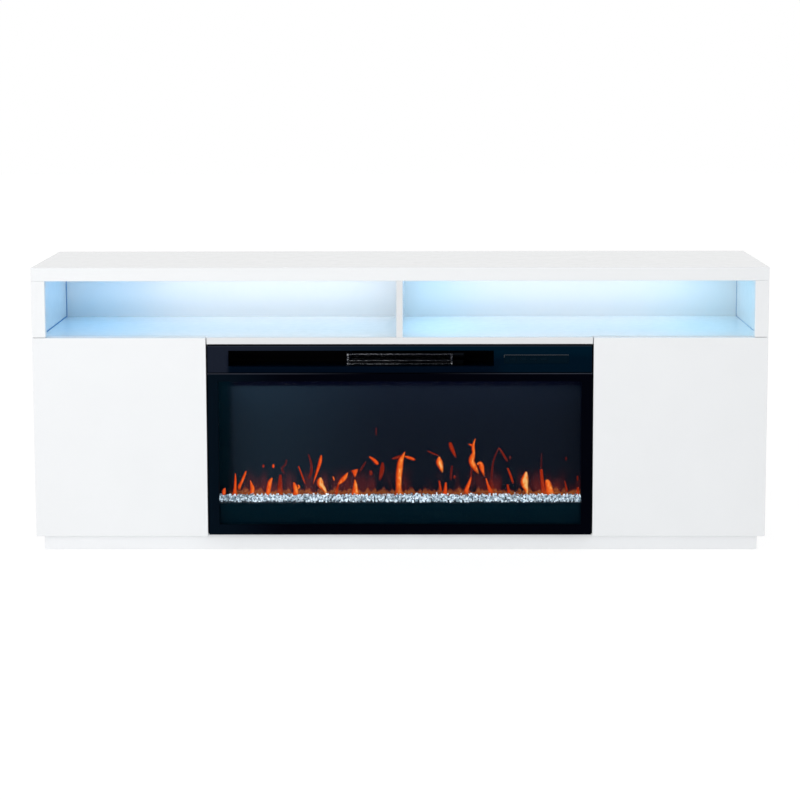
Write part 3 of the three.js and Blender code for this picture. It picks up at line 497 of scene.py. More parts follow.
# %% Finish the CAD nodes
PLAIN_FINISHES = {
    foil_white: ["bottom_board", "plinth_back", "partition_left", "partition_right", "shelf_left",
                 "shelf_right"],
    back_board: ["back_panel_niche", "back_panel_left", "back_panel_right"],
    # The plinth ends take the whiter white: painted light.
    plinth_lit_white: ["plinth_end_left", "plinth_end_right"],
    powder_black: ["insert_case", "insert_back_cover"],
    deck_black: ["heater_deck"],
    panel_black: ["control_panel"],
    tray_black: ["ember_tray"],
    black_plastic: ["cord_gland"],
    grey_plastic: ["latch_body_left", "latch_body_right", "latch_plunger_left", "latch_plunger_right"],
    rolled_aluminium: ["flame_spindle"],
    dark_aluminium: ["blower_rotor", "blower_motor"],
    zinc_plate: ["spindle_motor"],
    led_light: ["led_strip_left", "led_strip_right"],
    clear_glass: ["front_glass"],
}


def finish_node(name, material):
    shown = nodes[name]
    if not shown.material_slots:
        shown.data.materials.append(None)
    shown.material_slots[0].link = "OBJECT"
    shown.material_slots[0].material = material


for material, names in PLAIN_FINISHES.items():
    for name in names:
        finish_node(name, material)
for name in nodes:
    if name.startswith(("hinge_", "shelf_wire_")):
        finish_node(name, zinc_plate)
print("finished", sum(len(names) for names in PLAIN_FINISHES.values()), "nodes, hinges and wires")

# %% [markdown]
# A real board or a folded steel frame never has a knife edge. The eased edge catches a thin line of light,
# and that line is what makes it look solid. The imported solids have flat chamfers. For the pieces in front we
# take a copy, merge its triangles back into whole faces, and let a Bevel modifier round every edge.
# Weighted normals keep the large faces flat in the shading. The chamfers of the black pieces take a paint of
# their own: painted shade, deep black where they meet in a gap, and a painted highlight along the top of the
# glass frame.

# %% Softened copies of the front pieces
SQUARE_SHARE = 0.99
WELD_DISTANCE = 0.00001
FLAT_ANGLE = math.radians(1)


def on_chamfer(face):
    return max(abs(part) for part in face.normal) < SQUARE_SHARE


def softened(node, body, slot, material, edge_material, radius):
    mesh = bmesh.new()
    mesh.from_mesh(nodes[node].data)
    bmesh.ops.remove_doubles(mesh, verts=mesh.verts, dist=WELD_DISTANCE)
    bmesh.ops.dissolve_limit(mesh, angle_limit=FLAT_ANGLE, verts=mesh.verts, edges=mesh.edges)
    mesh.normal_update()
    for face in mesh.faces:
        face.smooth = True
        face.material_index = 1 if on_chamfer(face) else 0
    piece = make_piece(f"{node}_soft", mesh, material, edge_material)
    round_edges(piece, radius)
    normals = piece.modifiers.new("flat faces", "WEIGHTED_NORMAL")
    normals.keep_sharp = True
    return seat(piece, body, slot, node)


BOARD_EDGE = 0.0004
JOINT_EDGE = 0.0008
SMALL_EDGE = 0.0002
GLOSS_BOARDS = ["top_board", "front_stile_left", "front_stile_right", "door_left", "door_right"]
# The rail and the divider take the darker white: painted shade.
SHADED_BOARDS = ["niche_divider", "centre_rail"]
JOINED_BOARDS = ["niche_floor", "side_panel_left", "side_panel_right", "plinth_front"]
for node in GLOSS_BOARDS + SHADED_BOARDS + JOINED_BOARDS:
    paint = shaded_white if node in SHADED_BOARDS else gloss_white
    # The plinth front takes the whiter white: painted light.
    if node == "plinth_front":
        paint = plinth_lit_white
    radius = JOINT_EDGE if node in JOINED_BOARDS else BOARD_EDGE
    softened(node, node if node.startswith("door") else "cabinet", "gloss_white_board", paint, paint, radius)
# The fascia's chamfers take the painted shade of the gaps.
softened("fascia", "cabinet", "black_steel", fascia_black, gap_shade_black, BOARD_EDGE)
softened("glass_frame", "cabinet", "black_steel", frame_black, frame_edge, BOARD_EDGE)
for name in ("power", "flame", "ember", "heat"):
    softened(f"button_{name}", f"button_{name}", "black_plastic", button_black, panel_black, SMALL_EDGE)
print("softened", len(GLOSS_BOARDS + SHADED_BOARDS + JOINED_BOARDS) + 6, "pieces")

# %% [markdown]
# Screws hold the real thing together, and a cross recess is what makes a small dome read as a screw. A
# boolean cut would be slow for each one. A ring of twelve points can turn into the twelve corners of a cross
# instead, so the head is a stack of rings, and the last two rings are crosses.

# %% Screw heads
HEAD_RING_SHARES = ((1.0, 0.0), (1.0, 0.3), (0.86, 0.55), (0.66, 0.68))
CROSS_REACH_SHARE = 0.52
CROSS_HALF_SHARE = 0.13
CROSS_TOP_SHARE = 0.72
CROSS_FLOOR_SHARE = 0.30
CROSS_ARMS = 4
RING_CORNERS = 12
CORNER_STEP = 360 / RING_CORNERS


def ring_corners(reach):
    turns = [math.radians(CORNER_STEP * (index + 0.5)) for index in range(RING_CORNERS)]
    return [(reach * math.cos(turn), reach * math.sin(turn)) for turn in turns]


def cross_corners():
    reach, half = CROSS_REACH_SHARE, CROSS_HALF_SHARE
    arm = [(reach, half), (half, half), (half, reach)]
    corners = []
    for _ in range(CROSS_ARMS):
        corners += arm
        arm = [(-b, a) for a, b in arm]
    return corners


def add_screw(mesh, place, way, radius):
    turn = Vector((0, 0, 1)).rotation_difference(Vector(way)).to_matrix()
    levels = [(ring_corners(reach), rise) for reach, rise in HEAD_RING_SHARES]
    levels += [(cross_corners(), CROSS_TOP_SHARE), (cross_corners(), CROSS_FLOOR_SHARE)]
    rings = []
    for corners, rise in levels:
        spots = [Vector(place) + turn @ Vector((x, y, rise)) * radius for x, y in corners]
        rings.append([mesh.verts.new(spot) for spot in spots])
    for low, high in zip(rings, rings[1:]):
        for index in range(RING_CORNERS):
            after = (index + 1) % RING_CORNERS
            mesh.faces.new((low[index], low[after], high[after], high[index]))
    mesh.faces.new(rings[-1])
    mesh.faces.new(reversed(rings[0]))


def screw_piece(name, spots, way, radius, finish):
    mesh = bmesh.new()
    for spot in spots:
        add_screw(mesh, spot, way, radius)
    return make_piece(name, mesh, finish)


print("screw helpers ready")

# %% [markdown]
# Two screws hold each hinge cup to its door, so they are one piece that rides on the door and swings with it.
# The insert's back cover has a row of five along its top and its foot, and one halfway up at each end. Each
# place is asked from the box of the piece that the screw goes into.

# %% Screws on the hinge cups and the back cover
CUP_SCREW_OFFSET = 0.024
CUP_SCREW_RADIUS = 0.0038
COVER_SCREW_RADIUS = 0.0036
COVER_INSET = 0.008
COVER_COLUMNS = (-1.0, -0.5, 0.0, 0.5, 1.0)
BACKWARD = (0, 1, 0)
FORWARD = (0, -1, 0)


def cup_screws(side):
    spots = []
    for height in ("lower", "upper"):
        low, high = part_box(f"hinge_cup_{side}_{height}")
        for shift in (-CUP_SCREW_OFFSET, CUP_SCREW_OFFSET):
            spots.append(((low.x + high.x) / 2, high.y, (low.z + high.z) / 2 + shift))
    piece = screw_piece(f"cup_screws_{side}", spots, BACKWARD, CUP_SCREW_RADIUS, zinc_plate)
    return seat(piece, f"door_{side}", "zinc_steel")


def cover_screws():
    low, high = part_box("insert_back_cover")
    reach = high.x - COVER_INSET
    spots = [(share * reach, high.y, up) for share in COVER_COLUMNS
             for up in (low.z + COVER_INSET, high.z - COVER_INSET)]
    spots += [(across, high.y, (low.z + high.z) / 2) for across in (-reach, reach)]
    piece = screw_piece("cover_screws", spots, BACKWARD, COVER_SCREW_RADIUS, black_plastic)
    return seat(piece, "cabinet", "black_steel")


screwed = [cup_screws(side) for side in SIDES] + [cover_screws()]
print("made", *(piece.name for piece in screwed))

# %% [markdown]
# The heater is the bright thing behind the air slot: bars of aluminium with rows of folded fins between them.
# Each row is one thin strip folded in zigzags, so it is built as an open sheet, and a Solidify modifier gives
# it the thickness of foil. The metal is painted nearly black, as painted shade for the shade behind the slot,
# and bright speckles are left in it as painted glints, fewer on the right, where less light falls.

# %% Heater core
TOP_BAR = 0.003
UPPER_FINS = 0.0125
MIDDLE_BAR = 0.002
LOWER_FINS = 0.0055
END_PLATE = 0.004
FIN_PITCH = 0.0032
FIN_FOIL = 0.0003
BAR_EDGE = 0.0003
HEATER_SCREW_RADIUS = 0.002
HEATER_SCREW_DROP = 0.003


def make_shaded_aluminium():
    material, shader = start_material("shaded_aluminium", (0.2, 0.2, 0.2), 0.32, 1.0)
    # Painted shade and glints: a nearly black metal with bright speckles, fewer towards the right.
    speckle = ramp(material, noise_node(material, 360.0, 4.0), 0.50, 0.60)
    bright = times(material, speckle, ramp(material, places(material)["X"], -0.03, 0.02, 1.0, 0.45))
    tint = mix_colors(material, bright, (0.006, 0.007, 0.012), (0.30, 0.31, 0.33))
    connect(material, tint, shader.inputs["Base Color"])
    connect(material, spread(material, speckle, 0.28, 0.5), shader.inputs["Roughness"])
    return material


def add_fins(mesh, low, high):
    folds = 2 * round((high[0] - low[0]) / FIN_PITCH)
    before = None
    for index in range(folds + 1):
        along = low[0] + (high[0] - low[0]) * index / folds
        edge = [mesh.verts.new((along, deep, high[2] if index % 2 else low[2])) for deep in (low[1], high[1])]
        if before:
            mesh.faces.new((before[0], edge[0], edge[1], before[1]))
        before = edge


def heater_pieces():
    low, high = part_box("heater_core")
    frame_mesh, fin_mesh = bmesh.new(), bmesh.new()
    level = high.z
    left, right = low.x + END_PLATE, high.x - END_PLATE
    for bar, fins in ((TOP_BAR, UPPER_FINS), (MIDDLE_BAR, LOWER_FINS), (TOP_BAR, 0.0)):
        add_block(frame_mesh, (left, low.y, level - bar), (right, high.y, level))
        level -= bar
        if fins:
            add_fins(fin_mesh, (left, low.y + FIN_FOIL, level - fins), (right, high.y - FIN_FOIL, level))
            level -= fins
    for start, end in ((low.x, left), (right, high.x)):
        add_block(frame_mesh, (start, low.y, low.z), (end, high.y, high.z))
    shaded_aluminium = make_shaded_aluminium()
    frame_piece = make_piece("heater_frame", frame_mesh, shaded_aluminium)
    round_edges(frame_piece, BAR_EDGE, 2)
    seat(frame_piece, "cabinet", "aluminium", "heater_core")
    fin_piece = make_piece("heater_fins", fin_mesh, shaded_aluminium)
    foil = fin_piece.modifiers.new("foil", "SOLIDIFY")
    foil.thickness, foil.offset = FIN_FOIL, 0.0
    seat(fin_piece, "cabinet", "aluminium")
    foot = level + TOP_BAR / 2
    corners = ((low.x, high.z - HEATER_SCREW_DROP), (low.x, foot), (high.x - END_PLATE, foot))
    spots = [(across + END_PLATE / 2, low.y, up) for across, up in corners]
    screws = screw_piece("heater_screws", spots, FORWARD, HEATER_SCREW_RADIUS, zinc_plate)
    seat(screws, "cabinet", "zinc_steel")
    return fin_piece


heater_fins = heater_pieces()
print("heater fins:", len(heater_fins.data.polygons), "folds")

# %% [markdown]
# Two small things finish the insert's front. A thin bright bead runs along the top of the control panel and
# turns down at its left end: a painted highlight, the light that the panel's top and left edges catch. And a
# narrow black strip stands in the gap beside each door: painted shade, the dark of that gap, so that no white
# board shows there.

# %% Panel highlight bead and gap shade strips
BEAD_RADIUS = 0.0006
BEAD_DROP = 0.006
WINDOW_LEFT, WINDOW_RIGHT, WINDOW_HEAD = 0.2456, 0.3970, 0.4700
GAP_SHADE_SHEET = 0.001
GAP_SHADE_WIDTH = 0.0030
GAP_SHADE_START = 0.0008
GAP_SHADE_TOPS = {"left": 0.509, "right": 0.4935}


def panel_highlight():
    line = bpy.data.curves.new("panel_highlight", "CURVE")
    line.dimensions = "3D"
    line.bevel_depth = BEAD_RADIUS
    line.use_fill_caps = True
    path = line.splines.new("POLY")
    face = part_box("control_panel")[0].y
    corners = ((WINDOW_RIGHT, WINDOW_HEAD), (WINDOW_LEFT + BEAD_RADIUS, WINDOW_HEAD),
               (WINDOW_LEFT, WINDOW_HEAD - BEAD_RADIUS), (WINDOW_LEFT, WINDOW_HEAD - BEAD_DROP))
    path.points.add(len(corners) - 1)
    for point, (across, up) in zip(path.points, corners):
        point.co = (across, face, up, 1)
    # The bead is painted light grey: a painted highlight.
    line.materials.append(bead_highlight)
    piece = bpy.data.objects.new("panel_highlight", line)
    bpy.context.scene.collection.objects.link(piece)
    return seat(piece, "cabinet", "black_gloss")


# Painted shade: a thin black strip stands in the gap beside each door, taller on the left, where more of the
# gap lies in shade.
def side_gap_shade(side, sign):
    low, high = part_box("glass_frame")
    start = high.x + GAP_SHADE_START
    mesh = bmesh.new()
    ends = sorted((sign * start, sign * (start + GAP_SHADE_WIDTH)))
    add_block(mesh, (ends[0], high.y - GAP_SHADE_SHEET, low.z), (ends[1], high.y, GAP_SHADE_TOPS[side]))
    piece = make_piece(f"case_gap_shade_{side}", mesh, gap_shade_black)
    round_edges(piece, BAR_EDGE, 2)
    return seat(piece, "cabinet", "black_steel")


highlight_bead = panel_highlight()
shade_strips = [side_gap_shade(side, sign) for side, sign in SIDES.items()]
print("made", highlight_bead.name, *(shade_strip.name for shade_strip in shade_strips))

# %% [markdown]
# Flat-pack boards never close quite tight. In the outer corners of the niche the joints stand open by a hair
# and show as fine dark lines, clearest on the left. The imported boards touch, so a thin dark strip is laid in
# each of these corners to stand for the open joint. Its blue is partly painted shade: the shade that falls
# into the joint, wider on the left, where it shows most.

# %% Open joints in the niche corners
JOINT_WIDTHS = {"left": 0.0013, "right": 0.0006}
# The strip's blue is painted shade, the shade that falls into the open joint.
joint_shadow = make_moulded("joint_shadow", (0.05, 0.24, 0.50), 0.8)


def niche_joints(side, sign):
    width = JOINT_WIDTHS[side]
    floor_low, floor_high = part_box("niche_floor")
    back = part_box("back_panel_niche")[0].y
    wall = floor_high.x * sign
    inner = wall - sign * width
    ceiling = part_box("top_board")[0].z
    mesh = bmesh.new()
    across = sorted((wall, inner))
    add_block(mesh, (across[0], back - width, floor_high.z), (across[1], back, ceiling))
    add_block(mesh, (across[0], floor_low.y, floor_high.z), (across[1], back - width, floor_high.z + width))
    return seat(make_piece(f"niche_joint_{side}", mesh, joint_shadow), "cabinet", "plain_white_board")


joints = [niche_joints(side, sign) for side, sign in SIDES.items()]
print("open joints:", len(joints))

# %% [markdown]
# The flame screen is a dark, slightly blue sheet behind the crystals, a little lighter to the left: painted
# light. Its edges fall off to black, more on the left and at the top: painted shade from the frame and the
# walls of the firebox. The fire lights its foot with a low, uneven orange haze. All of that is painted by
# distance: the X and Z coordinates of the sheet drive smooth ramps.

# %% Flame screen
SCREEN_LEFT = -0.418
SCREEN_LEFT_FADE = 0.022
SCREEN_RIGHT = 0.4365
SCREEN_RIGHT_FADE = 0.004
SCREEN_TOP = 0.382
SCREEN_TOP_FADE = 0.006
BED_HEIGHT = 0.112
HUMP_LOW = 0.007
HUMP_HIGH = 0.021
HAZE_HIGH = 0.075
HIGH_HAZE_GLOW = 0.13
LOW_HAZE_GLOW = 0.30


def humps(material, up):
    crest = ramp(material, noise_node(material, 60.0, 1.5, (1.0, 0.0, 0.0)), 0.32, 0.68, HUMP_LOW, HUMP_HIGH)
    share = reckon(material, "DIVIDE", reckon(material, "SUBTRACT", up, BED_HEIGHT), crest)
    body = ramp(material, share, 1.1, 0.6)
    return times(material, body, ramp(material, noise_node(material, 260.0, 3.0), 0.3, 0.7, 0.35, 1.0))


def make_screen():
    material, shader = start_material("flame_screen_sheet", (0.012, 0.02, 0.032), 0.35)
    shader.inputs["Specular IOR Level"].default_value = 0.02
    spot = places(material)
    across, up = spot["X"], spot["Z"]
    inside_left = ramp(material, across, SCREEN_LEFT, SCREEN_LEFT + SCREEN_LEFT_FADE)
    inside_right = ramp(material, across, SCREEN_RIGHT, SCREEN_RIGHT - SCREEN_RIGHT_FADE)
    below_top = ramp(material, up, SCREEN_TOP, SCREEN_TOP - SCREEN_TOP_FADE)
    lit = times(material, times(material, inside_left, inside_right), below_top)
    # Painted light: the sheet is lighter to the left.
    rightward = ramp(material, across, -0.42, 0.02)
    blue = mix_colors(material, rightward, (0.0112, 0.0226, 0.0372), (0.0051, 0.0085, 0.0170))
    # Painted shade: outside the lit area the sheet is darker, teal-blue beside the left edge and deep blue at
    # the top and right.
    border = mix_colors(material, inside_left, (0.0001, 0.0090, 0.0165), (0.0001, 0.0008, 0.0070))
    connect(material, mix_colors(material, lit, border, blue), shader.inputs["Base Color"])
    low_haze = humps(material, up)
    smoke = ramp(material, noise_node(material, 34.0, 3.0, (1.0, 1.0, 0.3)), 0.42, 0.72)
    high_haze = times(material, ramp(material, up, BED_HEIGHT + HAZE_HIGH, BED_HEIGHT), smoke)
    low_glow = times(material, low_haze, LOW_HAZE_GLOW)
    haze = reckon(material, "MULTIPLY_ADD", high_haze, HIGH_HAZE_GLOW, low_glow)
    orange = mix_colors(material, low_haze, (0.9, 0.07, 0.02), (1.0, 0.30, 0.04))
    connect(material, orange, shader.inputs["Emission Color"])
    connect(material, times(material, haze, lit), shader.inputs["Emission Strength"])
    return material


flame_screen_sheet = make_screen()
finish_node("flame_screen", flame_screen_sheet)
print("made", flame_screen_sheet.name)

# %% [markdown]
# The flames are light thrown on the screen, so they lie on its surface. One way is a painted texture. We make
# each tongue as a thin leaf of mesh instead, because a leaf keeps its outline at any distance.
# A leaf follows a spine of two to nine points with a width at each point. A smooth curve through those points
# is cut into short steps, and three values are stored on the way: how far a point is from the spine, how far
# down the leaf it is, and how hot the leaf is.

# %% Leaves of flame
SCREEN_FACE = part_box("flame_screen")[0].y
LEAF_STEPS = 6
LEAF_COLUMNS = (-1.0, -0.5, 0.0, 0.5, 1.0)
LEAF_FULLNESS = 1.12
LEAF_LEAST_WIDTH = 0.2
MM = 0.001


def curve_point(points, index, share):
    before = points[max(index - 1, 0)]
    start, end = points[index], points[index + 1]
    after = points[min(index + 2, len(points) - 1)]
    values = []
    for a, b, c, d in zip(before, start, end, after):
        cubic = (-a + 3 * b - 3 * c + d) * share ** 3
        square = (2 * a - 5 * b + 4 * c - d) * share ** 2
        values.append((2 * b + (c - a) * share + square + cubic) / 2)
    return values


def smooth_spine(points):
    spine = []
    for index in range(len(points) - 1):
        for step in range(LEAF_STEPS):
            spine.append(curve_point(points, index, step / LEAF_STEPS))
    spine.append(list(points[-1]))
    return spine


def leaf_side(spine, index):
    before, after = spine[max(index - 1, 0)], spine[min(index + 1, len(spine) - 1)]
    run = Vector((after[0] - before[0], after[1] - before[1])).normalized()
    return Vector((-run.y, run.x)) * max(spine[index][2], LEAF_LEAST_WIDTH) * LEAF_FULLNESS / 2


def add_leaf(corners, faces, values, points, heat, lift):
    spine = smooth_spine(points)
    columns = len(LEAF_COLUMNS)
    for index, (x, z, _) in enumerate(spine):
        side = leaf_side(spine, index)
        for share in LEAF_COLUMNS:
            corners.append(((x + side.x * share) * MM, SCREEN_FACE - lift, (z + side.y * share) * MM))
            values["across"].append(share)
            values["along"].append(index / (len(spine) - 1))
            values["leaf_heat"].append(heat)
    first = len(corners) - len(spine) * columns
    for row in range(len(spine) - 1):
        for left in range(columns - 1):
            low = first + row * columns + left
            faces.append((low, low + 1, low + 1 + columns, low + columns))


print("screen face at y =", round(SCREEN_FACE, 4))

# %% [markdown]
# Flame colour runs from a pale yellow heart through orange to a deep red rim, and the rim fades out. The
# stored values drive that: heat sets how much of the heart shows, and the distance from the spine sets the
# fade. The heart sits a little to one side, as it does in a real tongue of flame.

# %% Flame material
HEART_SHIFT = 0.25
FLAME_GLOW = 0.98


def attribute_node(material, name):
    stored = add_node(material, "ShaderNodeAttribute")
    stored.attribute_name = name
    return stored.outputs["Fac"]


def flame_colors(material, warmth):
    stops = add_node(material, "ShaderNodeValToRGB")
    stops.color_ramp.elements[0].color = (0.30, 0.012, 0.002, 1)
    stops.color_ramp.elements[1].color = (1.0, 0.52, 0.17, 1)
    for place, color in ((0.35, (0.60, 0.040, 0.006, 1)), (0.66, (0.88, 0.115, 0.016, 1)),
                         (0.85, (1.0, 0.25, 0.035, 1))):
        stops.color_ramp.elements.new(place).color = color
    connect(material, warmth, stops.inputs["Fac"])
    return stops.outputs["Color"]


def make_flame():
    material, shader = start_material("flame_light", (0, 0, 0), 1.0)
    shader.inputs["Specular IOR Level"].default_value = 0.0
    shader.inputs["Emission Strength"].default_value = FLAME_GLOW
    across = attribute_node(material, "across")
    heart = ramp(material, away_from(material, across, HEART_SHIFT), 1.0 + HEART_SHIFT, 0.1, 0.35, 1.0)
    flicker = spread(material, noise_node(material, 190.0, 2.0, (1.0, 1.0, 0.4)), 0.42, 1.22)
    heat = attribute_node(material, "leaf_heat")
    warmth = times(material, times(material, heart, flicker), heat)
    connect(material, flame_colors(material, warmth), shader.inputs["Emission Color"])
    rim_fade = ramp(material, reckon(material, "ABSOLUTE", across), 1.0, 0.45)
    foot_fade = ramp(material, attribute_node(material, "along"), 1.0, 0.75, 0.3, 1.0)
    faint = ramp(material, heat, 0.1, 0.7, 0.12, 1.0)
    connect(material, times(material, times(material, rim_fade, foot_fade), faint), shader.inputs["Alpha"])
    material.cycles.emission_sampling = "NONE"
    return material


flame_light = make_flame()
print("made", flame_light.name)

# %% [markdown]
# Each tongue is its heat and its spine in millimetres: X along the screen, Z above the floor, and the
# width there. They start at the tip and end at the foot. Some hang free above the bed, as sparks and torn
# flames do.

# %% The flames on the left half
LEFT_FLAMES = [
    (0.72, [(-424, 129, 3), (-427, 122, 10), (-427, 109, 9)]),
    (0.74, [(-399, 165, 2), (-399, 148, 6), (-400, 130, 8), (-402, 108, 14)]),
    (0.78, [(-373, 171, 3), (-378, 158, 7), (-383, 146, 7), (-389, 134, 9), (-390, 125, 7)]),
    (0.84, [(-363, 148, 2), (-360, 137, 8), (-358, 129, 12), (-359, 119, 12), (-360, 109, 9)]),
    (0.92, [(-310, 154, 3), (-315, 145, 11), (-318, 132, 13), (-320, 120, 12), (-322, 109, 10)]),
    (0.40, [(-331, 187, 2), (-331, 183, 6), (-331, 179, 2)]),
    (0.76, [(-307, 188, 2), (-307, 183, 7), (-307, 178, 2)]),
    (0.22, [(-275, 199, 4), (-277, 188, 5), (-286, 177, 6), (-280, 163, 8)]),
    (0.36, [(-290, 162, 6), (-291, 140, 13), (-292, 108, 18)]),
    (0.92, [(-258, 143, 4), (-255, 133, 12), (-253, 122, 13), (-254, 108, 19)]),
    (0.86, [(-248, 137, 3), (-245, 132, 6), (-250, 126, 3)]),
    (0.50, [(-246, 183, 3), (-238, 161, 4), (-230, 139, 3)]),
    (0.27, [(-222, 212, 3), (-216, 192, 6), (-215, 170, 8), (-222, 151, 9)]),
    (0.72, [(-191, 210, 3), (-193, 197, 9), (-198, 179, 8), (-205, 158, 5), (-211, 139, 2)]),
    (1.20, [(-193, 155, 5), (-194, 146, 17), (-192, 136, 17), (-184, 126, 10), (-178, 112, 6)]),
    (1.00, [(-163, 158, 2), (-161, 152, 4), (-160, 147, 2)]),
    (0.86, [(-127, 167, 2), (-134, 156, 12), (-142, 147, 12), (-152, 137, 4)]),
    (0.40, [(-149, 139, 5), (-153, 128, 8), (-156, 112, 13)]),
    (0.78, [(-111, 174, 20), (-110, 169, 15), (-110, 155, 2)]),
    (1.00, [(-110, 150, 2), (-109, 139, 10), (-109, 126, 16), (-109, 108, 22)]),
    (0.24, [(-83, 194, 3), (-90, 183, 6), (-99, 168, 4)]),
    (0.32, [(-72, 172, 6), (-71, 166, 9), (-71, 160, 5)]),
    (0.72, [(-75, 206, 3), (-66, 200, 8), (-57, 191, 10), (-54, 186, 4)]),
    (0.34, [(-43, 192, 5), (-44, 174, 13), (-50, 148, 6)]),
    (0.26, [(-58, 277, 3), (-58, 258, 3)]),
    (0.34, [(-20, 201, 3), (-8, 204, 8), (3, 209, 5)]),
    (1.00, [(11, 218, 2), (6, 207, 9), (1, 195, 15), (-2, 173, 17), (-4, 148, 16), (-4, 128, 16),
            (-3, 108, 27)]),
]
print(len(LEFT_FLAMES), "tongues on the left")

# %% The flames on the right half
RIGHT_FLAMES = [
    (0.72, [(11, 207, 4), (20, 204, 8), (29, 201, 8), (36, 198, 5)]),
    (0.34, [(66, 220, 3), (79, 214, 4), (94, 208, 3)]),
    (1.12, [(94, 206, 4), (94, 194, 17), (98, 181, 13), (102, 167, 3)]),
    (0.42, [(120, 241, 7), (123, 230, 11), (129, 216, 8), (135, 203, 2)]),
    (1.00, [(181, 250, 2), (177, 238, 6), (176, 225, 9), (177, 216, 8), (174, 206, 14), (172, 195, 15),
            (178, 182, 15), (185, 171, 9), (189, 164, 2)]),
    (0.72, [(165, 237, 2), (172, 234, 7), (178, 231, 8)]),
    (0.92, [(186, 187, 6), (193, 190, 10), (196, 182, 14), (199, 171, 9), (203, 157, 2)]),
    (0.50, [(94, 147, 4), (96, 134, 6), (98, 120, 7)]),
    (0.64, [(110, 143, 4), (109, 128, 9), (107, 109, 12)]),
    (0.24, [(125, 184, 5), (123, 166, 7), (122, 148, 6)]),
    (0.36, [(131, 160, 4), (131, 156, 6), (131, 152, 3)]),
    (0.80, [(171, 156, 3), (166, 140, 9), (161, 128, 11), (159, 114, 14)]),
    (0.24, [(173, 180, 4), (171, 163, 6), (171, 147, 5)]),
    (0.72, [(207, 153, 3), (212, 136, 7), (220, 116, 14)]),
    (0.24, [(219, 150, 8), (221, 134, 12), (222, 116, 14)]),
    (0.25, [(238, 228, 3), (229, 208, 4), (223, 186, 5), (220, 150, 8)]),
    (0.34, [(239, 227, 3), (248, 213, 5), (259, 194, 5)]),
    (0.24, [(265, 208, 3), (265, 204, 6), (265, 199, 3)]),
    (0.46, [(259, 178, 4), (266, 161, 6), (273, 140, 5)]),
    (0.46, [(259, 138, 5), (263, 115, 10)]),
    (1.25, [(304, 169, 5), (302, 158, 15), (300, 146, 21), (301, 136, 18), (305, 124, 10), (307, 109, 6)]),
    (0.43, [(340, 175, 8), (343, 144, 10), (347, 110, 12)]),
    (0.16, [(341, 215, 3), (340, 175, 6)]),
    (1.00, [(353, 149, 8), (356, 142, 16), (359, 130, 19), (363, 109, 25)]),
    (0.42, [(397, 147, 2), (400, 134, 4), (403, 120, 7)]),
    (0.30, [(400, 205, 3), (400, 197, 4)]),
    (0.30, [(428, 159, 4), (428, 146, 4)]),
    (0.40, [(429, 131, 6), (428, 111, 10)]),
]
LEAF_LIFT = 0.0004
LEAF_STAGGER = 0.00012
LEAF_LAYERS = 4


def flame_piece(tongues):
    corners, faces = [], []
    values = {"across": [], "along": [], "leaf_heat": []}
    for index, (heat, points) in enumerate(tongues):
        add_leaf(corners, faces, values, points, heat, LEAF_LIFT + LEAF_STAGGER * (index % LEAF_LAYERS))
    data = bpy.data.meshes.new("flames")
    data.from_pydata(corners, [], faces)
    for name, numbers in values.items():
        data.attributes.new(name, "FLOAT", "POINT").data.foreach_set("value", numbers)
    data.materials.append(flame_light)
    piece = bpy.data.objects.new("flames", data)
    bpy.context.scene.collection.objects.link(piece)
    return seat(piece, "cabinet", "flame_screen")


flames = flame_piece(LEFT_FLAMES + RIGHT_FLAMES)
print("flames:", len(LEFT_FLAMES + RIGHT_FLAMES), "leaves,", len(flames.data.polygons), "faces")

# %% [markdown]
# The ember bed is a layer of broken crystal, each piece a few millimetres to a centimetre, tumbled at random.
# A rigid body drop would settle them, but a jittered grid in rising layers looks the same for a shallow bed
# and is quick. Each layer has a height, a chunk size and a spacing. Each chunk is the convex hull of a few
# random points, which is how broken glass looks: flat, sharp faces. A stored tone makes some chunks bright
# and some nearly clear.

# %% Crystal chunks
CHUNK_POINTS = 9
CHUNK_STRETCH = (0.65, 1.25)
CHUNK_REACH = (0.8, 1.0)
CHUNK_SIZES = (0.85, 1.3)
SIDEWAYS_JITTER = (-0.35, 0.35)
HEIGHT_JITTER = (-0.001, 0.0015)
BED_SEED = 36
BED_LAYERS = (
    (0.0028, 0.0068, 0.0080),
    (0.0045, 0.0066, 0.0098),
    (0.0064, 0.0062, 0.0210),
)


def crystal_chunk(mesh, tone_layer, middle, size, dice):
    stretch = Vector([dice.uniform(*CHUNK_STRETCH) for _ in range(3)])
    corners = []
    for _ in range(CHUNK_POINTS):
        way = Vector([dice.gauss(0, 1) for _ in range(3)]).normalized()
        reach = size / 2 * dice.uniform(*CHUNK_REACH)
        corners.append(mesh.verts.new(middle + Vector(a * b for a, b in zip(way, stretch)) * reach))
    hull = bmesh.ops.convex_hull(mesh, input=corners)
    spare = [item for item in hull["geom_interior"] if isinstance(item, bmesh.types.BMVert)]
    bmesh.ops.delete(mesh, geom=spare, context="VERTS")
    tone = dice.random()
    for corner in corners:
        if corner.is_valid:
            corner[tone_layer] = tone


